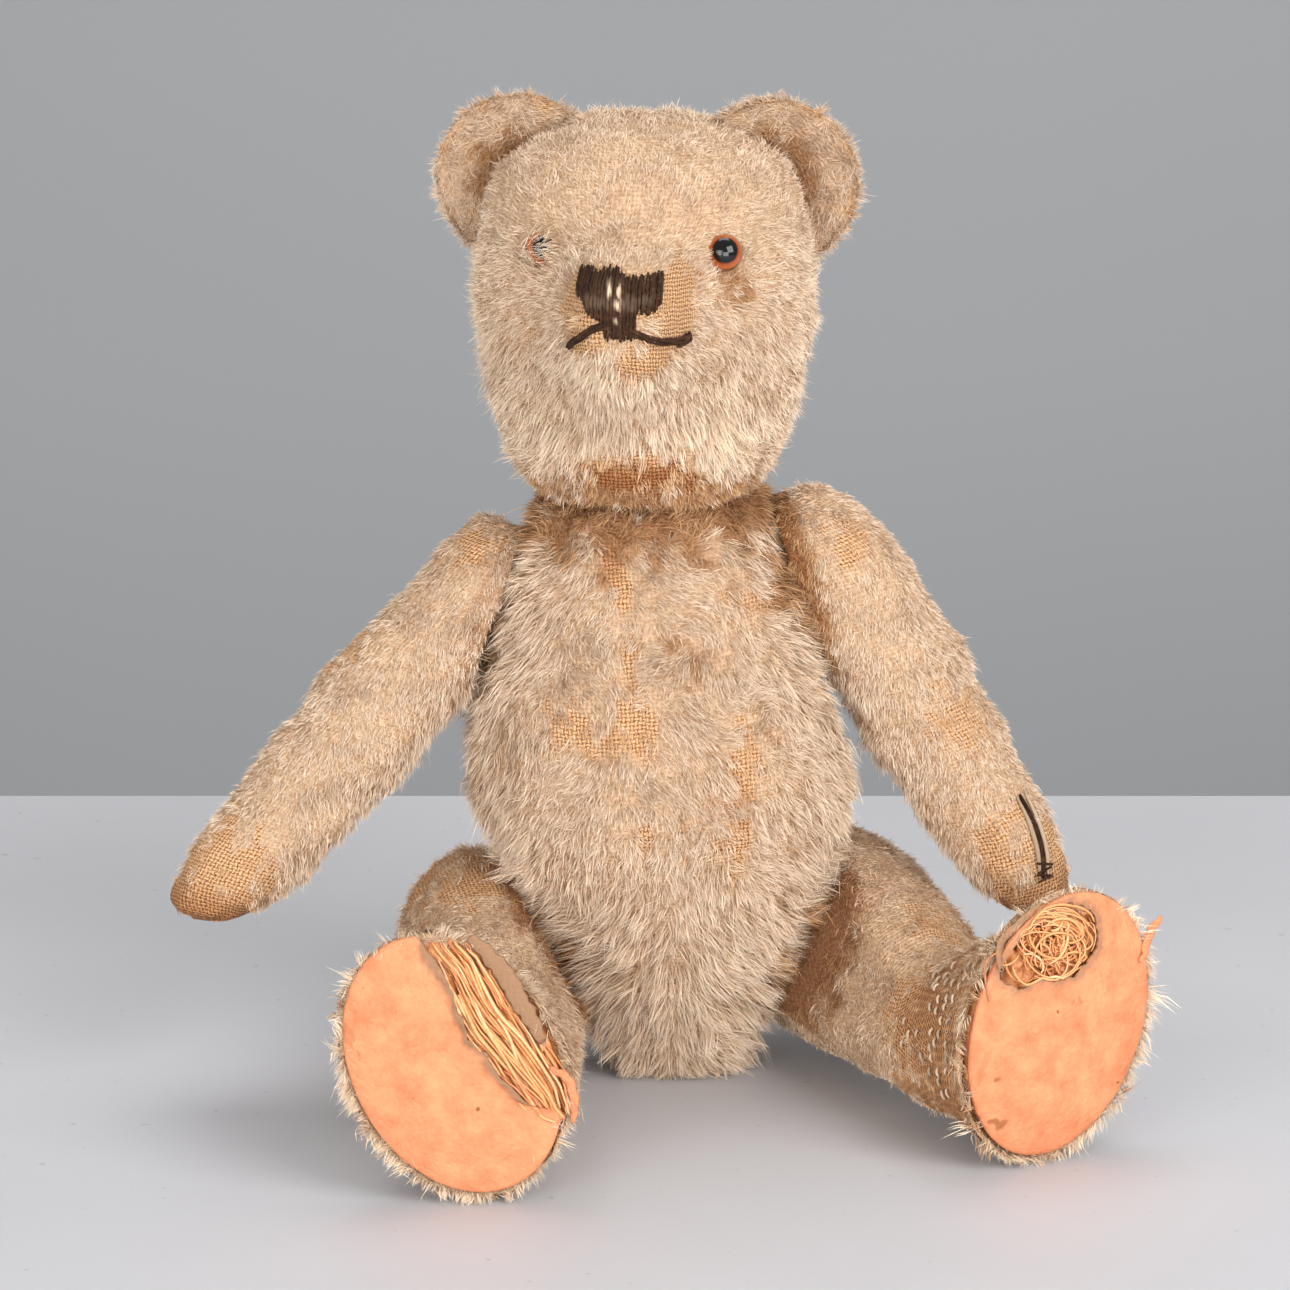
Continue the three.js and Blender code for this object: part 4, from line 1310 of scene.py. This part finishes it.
proud = 0.2 + 0.25 * upper[:, None] + 0.3 * np.sin(np.pi * t) ** 0.5
paths = on_cover(head, np.stack([x, 0 * x, z], -1), AHEAD, proud)
width = (0.66 * rng.uniform(0.8, 1.15, len(stitch_x)))[:, None] * (0.5 + 0.5 * np.sin(np.pi * t) ** 0.4)
points, faces = tubes(paths, AHEAD, width, 0.6)
nose = write_mesh("nose_stitches", in_row(head, points), faces, thread)
RUBBED_THROUGH = [
    (-0.9, 0, 41.3, 0.3, 99, 0.9, 1.0),
    (0.7, 0, 41.2, 0.3, 99, 1.1, 1.0),
    (0.6, 0, 39.2, 0.35, 99, 0.7, 0.9),
    (0.3, 0, 36.6, 0.3, 99, 0.5, 0.8),
    (0.0, 0, 39.5, 6.0, 99, 0.9, 0.07),
]
tone = np.repeat(rng.uniform(0, 0.45, len(stitch_x)), len(t) * 6)
add_values(nose, tone=tone, worn=spots(points * (1, 0, 1), RUBBED_THROUGH, 0.3))
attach(nose, "head")
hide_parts("nose_stitching")

t = np.linspace(0, 1, 18)
paths = []
for line in (MOUTH_LEFT, MOUTH_RIGHT):
    flat_line = through([[x, 0, z] for x, z in line], t)
    for strand in range(3):
        twist = 5.5 * t + strand * 2 * np.pi / 3
        beside = 0.36 * np.stack([0 * t, 0 * t, np.cos(twist)], -1)
        paths.append(on_cover(head, flat_line + beside, AHEAD, 0.35 + 0.25 * np.sin(twist)))
for x, z, turned in ((9.3, 31.6, 0.9), (9.8, 31.9, 1.6), (9.2, 31.2, 0.2)):
    reach = np.linspace(-0.8, 0.8, 18)
    knot = np.stack([x + reach * math.cos(turned), 0 * t, z + reach * math.sin(turned)], -1)
    paths.append(on_cover(head, knot, AHEAD, 0.5 + 0.3 * np.cos(reach)))
paths = np.array(paths)
points, faces = tubes(paths, AHEAD, 0.7 * (0.6 + 0.4 * np.sin(np.pi * t) ** 0.3), 0.65)
mouth = write_mesh("mouth_stitches", in_row(head, points), faces, thread)
tone = np.repeat(rng.uniform(0, 0.35, len(paths)), len(t) * 6)
add_values(mouth, tone=tone, worn=0 * tone)
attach(mouth, "head")
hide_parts("mouth_stitching")


# ---------------------------------------------------------------------------------------------
# Wood wool: fine curled shavings packed hard under each foot pad. The right foot shows long flat
# ones that lie along the tear, and the left foot a nest of curls in its hole.
# ---------------------------------------------------------------------------------------------
SOLE_FRONT = 64.45  # from the joint to the rim of a felt pad
SOLE_BULGE = 2.0
CORE_DEPTH = 4.5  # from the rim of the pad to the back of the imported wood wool
OUTWARDS = np.array([0.0, -1.0, 0.0])
# Edges in the sole's own plane, in millimetres from its middle along its width and its height
TORN_EDGE = [
    [-3.5, -24],
    [-5.1, -19.5],
    [-5.5, -13],
    [-4.8, -7.6],
    [-4.4, -3],
    [-5.6, 2.6],
    [-6.2, 6],
    [-8, 13.6],
    [-11.3, 16.5],
    [-19, 21],
]
GAPING_EDGE = [[-10.4, -17], [-11.9, -13.7], [-12.3, -5], [-13.4, 0.5], [-13.6, 10.3], [-12.4, 15]]
HOLE = [
    [1.2, 15.5],
    [0.5, 11],
    [-2.5, 7.8],
    [-7, 6.5],
    [-11, 3.8],
    [-14, 5.5],
    [-13.5, 10],
    [-11.3, 14],
    [-9.5, 17.6],
    [-5, 19.3],
    [-1, 18.8],
]
HOLE_MIDDLE = np.array([-6, 12.5])
# Hollows in the packed wood wool: each sinks the mound and is painted dark as shade.
CAVITIES = {
    "right": [(-12.2, 0, 12.8, 1.0, 9, 1.6, 1.0), (-13.2, 0, -3, 0.7, 9, 8, 0.9)],
    "left": [
        (-12.6, 0, 6, 1.3, 9, 1.3, 1.0),
        (-11.3, 0, 11.3, 1.0, 9, 1.3, 1.0),
        (-10.4, 0, 16.4, 1.4, 9, 0.9, 0.9),
        (-6, 0, 12.5, 7, 9, 6, 0.35),
    ],
}


def bulge(a, b):
    """How far the stuffed sole stands out, fading at its rim: 1 - (distance from middle) ** 4."""
    out = (a / SOLE_HALF_WIDTH) ** 2 + (b / SOLE_HALF_HEIGHT) ** 2
    return SOLE_BULGE * np.maximum(1 - out**2, -0.4)


def on_sole(up, a, b, out):
    """Points of a leg's own frame, a and b from the sole's middle and out from its rim."""
    return np.stack([SOLE_X + a, -SOLE_FRONT - out, up * SOLE_Z + b], -1)


def wood_wool_material():
    """Pale orange wood with a silky gloss, with painted shade brown and dark in the gaps and hollows."""
    material, tree, shader = new_material("wood_wool", Roughness=0.42)
    place = own_place(tree)
    grain = noise(tree, place, 1500.0, 3.0)
    tone = maths(tree, "MULTIPLY_ADD", grain, 0.5, maths(tree, "ADD", value_of(tree, "tone"), -0.25))
    colour = ramp(
        tree,
        tone,
        [
            (0.0, (0.070, 0.018, 0.005)),
            (0.3, (0.50, 0.170, 0.048)),
            (0.6, (0.84, 0.350, 0.125)),
            (1.0, (0.94, 0.55, 0.28)),
        ],
    )
    plug(tree, shader.inputs["Base Color"], colour)
    raised(tree, shader, grain, 0.1)
    return material


wood_wool = wood_wool_material()


def packed_core(name, up):
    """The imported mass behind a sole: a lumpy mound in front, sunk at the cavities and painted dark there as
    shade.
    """
    mound = np.linspace(0, 0.93, 44)
    share = np.concatenate([mound, [0.93, 0.6, 0]])[:, None]
    turn = np.linspace(0, 2 * np.pi, 110, endpoint=False)
    a, b = SOLE_HALF_WIDTH * share * np.cos(turn), SOLE_HALF_HEIGHT * share * np.sin(turn)
    flat = np.stack([a, 0 * a, b], -1)
    stretch = (1.6, 1, 0.35) if up < 0 else (1, 1, 1)
    lumps = 0.35 * wander(flat * stretch, 3, 81) + 0.2 * wander(flat * stretch, 1.2, 82)
    dark = spots(flat, CAVITIES[name], 0.35)
    out = 0.8 * bulge(a, b) - 1.3 + lumps - 1.6 * dark
    out = np.where(np.arange(len(share))[:, None] < len(mound), out, -CORE_DEPTH)
    out[0], out[-1] = out[0].mean(), out[-1].mean()
    points, faces = capped(on_sole(up, a, b, out))
    # Painted shade: darker in the hollows and between the lumps, paler on the lumps.
    tone = (0.38 + 0.3 * lumps) * (1 - 0.8 * dark)
    return points, faces, np.concatenate([tone[:1, 0], tone[1:-1].ravel(), tone[-1:, 0]])


def along_the_tear(rng):
    """Long flat shavings side by side along the tear, slightly waved."""
    count, t = 150, np.linspace(0, 1, 16)
    across, start = rng.uniform(-0.05, 1.0, (count, 1)), rng.uniform(-19, 5, (count, 1))
    b = np.minimum(start + rng.uniform(7, 24, (count, 1)) * t, 15.5)
    wave = 0.05 * np.sin(rng.uniform(0, 6, (count, 1)) + 4 * t)
    across = across + wave + 0.12 * rng.normal(size=(count, 1)) * t
    near = np.interp(b, *np.transpose(TORN_EDGE)[::-1]) + 0.8
    far = np.interp(b, *np.transpose(GAPING_EDGE)[::-1])
    a = near + (far - near) * across
    layer = rng.uniform(0, 1, (count, 1))
    out = 0.85 * bulge(a, b) - 1.2 + 1.5 * layer + 0.15 * np.sin(5 * t + 6 * layer)
    return a, b, out, rng.uniform(0.3, 0.75, (count, 1)), layer


def reach_from(middle, outline, angle):
    """How far a closed outline lies from middle in each direction."""
    around = np.array(outline) - middle
    turned = np.arctan2(around[:, 1], around[:, 0])
    order = np.argsort(turned)
    return np.interp(angle, turned[order], np.hypot(*around.T)[order], period=2 * np.pi)


def curls(rng):
    """Curled shavings in the hole, and rounder ones under its upper edge."""
    count, t = 150, np.linspace(0, 1, 22)
    middle = HOLE_MIDDLE + rng.normal(size=(count, 2)) * (2.6, 2.4)
    radius = rng.uniform(1.0, 5.5, (count, 1))
    begin, sweep = rng.uniform(0, 2 * np.pi, (count, 1)), rng.uniform(1.0, 3.6, (count, 1))
    rim = np.arange(count)[:, None] < 40
    middle[:40] = HOLE_MIDDLE + rng.normal(size=(40, 2)) * (1.2, 0.8)
    radius = np.where(rim, rng.uniform(4.5, 7.0, (count, 1)), radius)
    begin, sweep = np.where(rim, 0.4 + 0.5 * begin / 6.3, begin), np.where(rim, 1.0 + 0.4 * sweep, sweep)
    angle = begin + sweep * t
    a = middle[:, :1] + radius * np.cos(angle) * rng.uniform(0.7, 1.15, (count, 1))
    b = middle[:, 1:] + radius * np.sin(angle) * rng.uniform(0.55, 0.95, (count, 1))
    away = np.hypot(a - HOLE_MIDDLE[0], b - HOLE_MIDDLE[1])
    limit = 0.95 * reach_from(HOLE_MIDDLE, HOLE, np.arctan2(b - HOLE_MIDDLE[1], a - HOLE_MIDDLE[0]))
    pull = np.minimum(1, limit / np.maximum(away, 1e-6))
    a, b = HOLE_MIDDLE[0] + (a - HOLE_MIDDLE[0]) * pull, HOLE_MIDDLE[1] + (b - HOLE_MIDDLE[1]) * pull
    layer = rng.uniform(0, 1, (count, 1))
    out = 0.85 * bulge(a, b) - 1.4 + 1.9 * layer + 0.35 * np.sin(angle * 1.5 + 6 * layer)
    return a, b, out, rng.uniform(0.22, 0.6, (count, 1)), layer


for name, up, seed in (("right", -1, 211), ("left", 1, 212)):
    rng = np.random.default_rng(seed)
    a, b, out, width, layer = along_the_tear(rng) if up < 0 else curls(rng)
    paths = on_sole(up, a, b, out)
    steps = paths.shape[1]
    taper = 0.25 + 0.75 * np.sin(np.pi * np.linspace(0.02, 0.98, steps)) ** 0.35
    points, faces = tubes(paths, OUTWARDS, width * taper, 0.16, 4)
    # Painted shade: the deeper shavings are darker and the outer ones paler.
    tone = (0.42 + 0.35 * layer + 0.12 * rng.normal(size=layer.shape)) * np.ones(steps)
    core, core_faces, core_tone = packed_core(name, up)
    faces += [[i + len(points) for i in face] for face in core_faces]
    points = in_row(legs[name], np.vstack([points, core]))
    wool = write_mesh(name + "_sole_wood_wool", points, faces, wood_wool)
    add_values(wool, tone=np.concatenate([np.repeat(tone.ravel(), 4), core_tone]))
    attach(wool, name + "_leg")
    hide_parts(name + "_leg_stuffing")


# ---------------------------------------------------------------------------------------------
# Foot pads: pressed wool felt of faded peach, cut oval and sewn round its edge. The right pad has
# come away along its inner side, with a waved edge; the left has a hole near the toe.
# ---------------------------------------------------------------------------------------------
FELT = 1.0
PAD_COLUMNS = 220
PAD_STAINS = {
    "right": [
        (SOLE_X - 1, -66, -SOLE_Z + 17, 2.2, 9, 0.7, 0.5),
        (SOLE_X + 12.5, -66, -12, 1.2, 9, 3, 0.55),
    ],
    "left": [
        (SOLE_X + 1.4, -66, SOLE_Z + 4, 1.2, 9, 0.9, 0.6),
        (SOLE_X - 7.1, -66, SOLE_Z - 17.5, 2.2, 9, 0.7, 1.0),
        (SOLE_X - 12.0, -66, SOLE_Z - 9, 0.8, 9, 4, 0.5),
        (SOLE_X - 9.3, -66, SOLE_Z - 10.7, 0.5, 9, 0.5, 0.9),
    ],
}
SEWN_IN = 0.955  # the pad's edge lies just inside the rim of the sole


def felt_material():
    """Felt: mottled peach, matted fibres, a few brown pin marks, grey brown where it is torn."""
    material, tree, shader = new_material("felt", Roughness=0.95)
    shader.inputs["Specular IOR Level"].default_value = 0.1
    place = own_place(tree)
    mottle = ramp(
        tree,
        noise(tree, place, 240.0, 6.0, 0.65),
        [(0.25, (0.56, 0.180, 0.080)), (0.5, (0.72, 0.265, 0.128)), (0.75, (0.84, 0.345, 0.172))],
    )
    cloudy = between(tree, noise(tree, place, 55.0, 3.0), 0.55, 0.75, 0.0, 0.35)
    stained = mixed(tree, cloudy, mottle, (0.66, 0.23, 0.10))
    marks = maths(
        tree,
        "MAXIMUM",
        between(tree, noise(tree, place, 520.0, 1.0), 0.77, 0.80),
        between(tree, value_of(tree, "stain"), 0.35, 0.75, 0.0, 0.8),
    )
    marked = mixed(tree, marks, stained, (0.30, 0.11, 0.04))
    edge = maths(tree, "ADD", value_of(tree, "edge"), -0.4)
    ragged = maths(tree, "MULTIPLY_ADD", noise(tree, place, 700.0, 3.0), 0.8, edge)
    colour = mixed(tree, between(tree, ragged, 0.3, 0.9), marked, (0.33, 0.185, 0.105))
    plug(tree, shader.inputs["Base Color"], colour)
    fibres = maths(tree, "ADD", noise(tree, place, 1500.0, 4.0), noise(tree, place, 380.0, 3.0))
    raised(tree, shader, fibres, 0.3)
    return material


felt = felt_material()


def ellipse_reach(middle, angle):
    """How far the sole's oval lies from middle in each direction, from its quadratic."""
    w, h = SEWN_IN * SOLE_HALF_WIDTH, SEWN_IN * SOLE_HALF_HEIGHT
    c, s = np.cos(angle), np.sin(angle)
    square = (c / w) ** 2 + (s / h) ** 2
    half = middle[0] * c / w**2 + middle[1] * s / h**2
    rest = (middle[0] / w) ** 2 + (middle[1] / h) ** 2 - 1
    return (-half + np.sqrt(half**2 - square * rest)) / square


def pad_surface(up, a, b, torn, under):
    """The pad's face or underside, lifted in waves towards a torn edge."""
    flat = np.stack([a, 0 * a, b], -1)
    wave = 0.5 + 0.5 * wander(flat, 4, 91)
    out = bulge(a, b) + 0.07 * wander(flat, 5, 92) + torn**2 * (0.3 + 0.9 * wave) - under
    return on_sole(up, a, b, out)


def right_pad(up):
    """A closed sheet round a middle point, out to the oval or to the torn edge."""
    turn = np.linspace(0, 2 * np.pi, PAD_COLUMNS, endpoint=False)
    middle = np.array([4.5, 0.0])
    oval = ellipse_reach(middle, turn)
    edge = np.array(TORN_EDGE) - middle
    angle = np.arctan2(edge[:, 1], edge[:, 0]) % (2 * np.pi)
    tear = np.interp(turn, angle[::-1], np.hypot(*edge.T)[::-1], left=99, right=99)
    at_tear = np.stack([np.cos(turn), 0 * turn, np.sin(turn)], -1) * np.minimum(oval, tear)[:, None]
    tear = tear + 0.3 * wander(at_tear, 4, 93) + 0.22 * wander(at_tear, 1.3, 94)
    torn = 1 - smoothly(tear - oval, -0.6, 0.2)
    radius = np.minimum(oval, tear)
    share = np.concatenate([np.linspace(0, 0.93, 26), [0.96, 0.985, 0.997, 1, 0.995, 0.97, 0.6, 0]])
    under = np.concatenate([np.zeros(26), [0, 0.06, 0.25, 0.5, 0.85, FELT, FELT, FELT]])[:, None]
    a = middle[0] + share[:, None] * radius * np.cos(turn)
    b = middle[1] + share[:, None] * radius * np.sin(turn)
    near = torn * smoothly(share, 0.72, 1)[:, None]
    return (*capped(pad_surface(up, a, b, near, under)), near)


def left_pad(up):
    """A closed sheet between the hole's edge and the oval."""
    turn = np.linspace(0, 2 * np.pi, PAD_COLUMNS, endpoint=False)
    way = np.stack([np.cos(turn), 0 * turn, np.sin(turn)], -1)
    outer = ellipse_reach(HOLE_MIDDLE, turn)
    inner = reach_from(HOLE_MIDDLE, HOLE, turn)
    hole = way * inner[:, None]
    inner = inner + 0.25 * wander(hole, 3.5, 95) + 0.2 * wander(hole, 1.2, 96)
    inner = np.minimum(inner, outer - 1.2)
    steps = np.linspace(0.05, 0.95, 24)
    share = np.concatenate([[0, 0.006, 0.02], steps, [0.985, 0.997, 1, 0.99, 0.5, 0.02]])
    under = np.concatenate([[0.5, 0.15, 0.03], 0 * steps, [0.06, 0.3, 0.55, FELT, FELT, FELT]])[:, None]
    radius = inner + share[:, None] * (outer - inner)
    a = HOLE_MIDDLE[0] + radius * np.cos(turn)
    b = HOLE_MIDDLE[1] + radius * np.sin(turn)
    near = 0.8 * np.exp(-(((radius - inner) / 1.6) ** 2))
    grid = pad_surface(up, a, b, 0.6 * near, under)
    index = np.arange(len(share) * len(turn)).reshape(len(share), len(turn))
    below, right = np.roll(index, -1, 0), np.roll(index, -1, 1)
    quads = np.stack([index, right, np.roll(below, -1, 1), below], -1).reshape(-1, 4)
    points = grid.reshape(-1, 3)
    return points, facing_out(points, quads.tolist()), near


for name, up, make in (("right", -1, right_pad), ("left", 1, left_pad)):
    points, faces, near = make(up)
    if name == "right":
        near = np.concatenate([near[:1, 0], near[1:-1].ravel(), near[-1:, 0]])
    pad = write_mesh(name + "_felt_pad", in_row(legs[name], points), faces, felt)
    add_values(pad, edge=near, stain=spots(points, PAD_STAINS[name]))
    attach(pad, name + "_leg")
    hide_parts(name + "_foot_pad")


# ---------------------------------------------------------------------------------------------
# Scraps: strips and threads of felt that hang from the torn pads and stand from their rims, the
# oldest of them grey brown. Each is a flat tube laid along the sole.
# ---------------------------------------------------------------------------------------------
SCRAPS = {  # the sole, then each scrap's middle line, its width and how grey it is
    "right": [
        ([[-12.0, -17], [-13.6, -11], [-14.3, -4], [-14.6, 3]], 3.2, 1.0),
        ([[-13.4, 7], [-14.7, 10], [-14.3, 13.5], [-12.6, 17]], 1.6, 0.35),
        ([[-6.2, 4.5], [-7.3, 7.5], [-8.0, 10.5], [-8.6, 13]], 0.35, 0.0),
        ([[-7.0, 4.0], [-8.1, 7.2], [-8.9, 10.2], [-9.4, 12.6]], 0.3, 0.0),
    ],
    "left": [
        ([[10.6, 13.0], [11.5, 16.0], [12.2, 18.5], [12.6, 20.7]], 1.7, 0.1),
        ([[-14.9, 9.5], [-16.6, 7], [-15.6, 3.5], [-14.6, 1]], 0.3, 0.6),
        ([[-14.6, 6.5], [-15.0, 10], [-12.6, 14.5], [-10.4, 18]], 1.5, 0.9),
    ],
}
t = np.linspace(0, 1, 20)
for name, up in (("right", -1), ("left", 1)):
    paths, widths, greys = [], [], []
    for line, width, grey in SCRAPS[name]:
        a, b, _ = through([[*p, 0] for p in line], t).T
        jog = 0.12 * width * wander(np.stack([a, b, 0 * a], -1), 2.2, 97)
        out = bulge(a, b) + 0.35 + 0.25 * np.sin(2 * np.pi * t + width)
        paths.append(on_sole(up, a + jog, b, out))
        widths.append(width * (0.25 + 0.75 * np.sin(np.pi * np.clip(t, 0.03, 0.97)) ** 0.5))
        greys.append(grey + 0 * t)
    points, faces = tubes(np.array(paths), OUTWARDS, np.array(widths), 0.5, 8)
    scraps = write_mesh(name + "_sole_scraps", in_row(legs[name], points), faces, felt)
    add_values(scraps, edge=np.repeat(np.ravel(greys), 8))
    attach(scraps, name + "_leg")


# ---------------------------------------------------------------------------------------------
# Mending: a tear in the left paw, drawn together and sewn over at its lower end with dark
# thread, and rows of pale darning on the left foot's inner side.
# ---------------------------------------------------------------------------------------------
t = np.linspace(0, 1, 16)
tear = through(SLIT, t)
beside = unit(np.cross(np.gradient(tear, axis=0), (0, 0, 1.0)))
FRONT_OF_ARM = np.array([0.0, 0.0, 1.0])
paths = []
for k, proud in ((-1, 0.35), (0, 0.1), (1, 0.35)):
    paths.append(on_cover(arms["left"], tear + 0.75 * k * beside, FRONT_OF_ARM, proud))
widths = np.array([[0.8], [1.1], [0.8]]) * np.sin(np.pi * np.linspace(0.05, 0.95, 16)) ** 0.5
for k, along in enumerate((0.8, 0.88, 0.95, 1.0)):
    middle = through(SLIT, np.array([along]))[0]
    reach = np.linspace(-1.2, 1.2, 16)[:, None] * (beside[-1] + (0, 0.25 * (-1) ** k, 0))
    paths.append(on_cover(arms["left"], middle + reach, FRONT_OF_ARM, 0.7 + 0 * t))
    widths = np.vstack([widths, 0.4 + 0 * t])
points, faces = tubes(np.array(paths), FRONT_OF_ARM, widths, 0.4)
mend = write_mesh("left_paw_mend", in_row(arms["left"], points), faces, thread)
add_values(
    mend,
    tone=np.repeat([0.9, 0.0, 0.9, 0.2, 0.2, 0.2, 0.2], 96),
    worn=np.repeat([0.55, 0.0, 0.45, 0, 0, 0, 0], 96),
)
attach(mend, "left_arm")

rng = np.random.default_rng(231)
t = np.linspace(-1, 1, 7)
INNER = np.array([-1.0, 0.0, 0.0])
paths = []
for row in range(8):
    for k in range(14):
        y = -61 + 2.0 * row + 0.25 * rng.normal()
        z = -18 + 1.9 * k - 0.5 * row + 0.25 * rng.normal()
        if rng.random() < 0.8 - 0.07 * row and z > -17 + 0.8 * row:
            path = np.stack([0 * t, y + 0.2 * t * rng.normal(), z + 0.62 * t], -1)
            paths.append(on_cover(legs["left"], path, INNER, 0.35 + 0.3 * (1 - t * t)))
points, faces = tubes(np.array(paths), INNER, 0.5 * (0.5 + 0.5 * (1 - t**4)), 0.4)
darning = write_mesh("left_foot_darning", in_row(legs["left"], points), faces, thread)
tone = np.repeat(rng.uniform(0.2, 1, len(paths)), len(t) * 6)
add_values(darning, tone=tone, worn=0.35 + 0.5 * tone)
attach(darning, "left_leg")


# ---------------------------------------------------------------------------------------------
# Inside the bear: hardboard discs and steel washers and split pins at the neck, the shoulders and
# the hips. They keep their CAD shapes and get their materials.
# ---------------------------------------------------------------------------------------------
hardboard, tree, shader = new_material("hardboard", Roughness=0.85)
place = own_place(tree)
fibre = noise(tree, place, 700.0, 5.0, 0.7)
board = ramp(tree, fibre, [(0.3, (0.17, 0.095, 0.048)), (0.7, (0.31, 0.19, 0.105))])
plug(tree, shader.inputs["Base Color"], board)
raised(tree, shader, fibre, 0.15)

joint_steel, tree, shader = new_material("joint_steel", Metallic=1.0)
place = own_place(tree)
tarnish = noise(tree, place, 260.0, 4.0)
steel_colour = ramp(tree, tarnish, [(0.35, (0.42, 0.40, 0.37)), (0.7, (0.24, 0.17, 0.12))])
plug(tree, shader.inputs["Base Color"], steel_colour)
plug(tree, shader.inputs["Roughness"], between(tree, tarnish, 0.3, 0.7, 0.32, 0.6))
raised(tree, shader, noise(tree, place, 1200.0, 2.0), 0.03)

for name, part in frame["nodes"].items():
    for kind, material in (("_disc", hardboard), ("_washer", joint_steel), ("_pin", joint_steel)):
        if name.endswith(kind):
            for slot in part.material_slots:
                slot.material = material
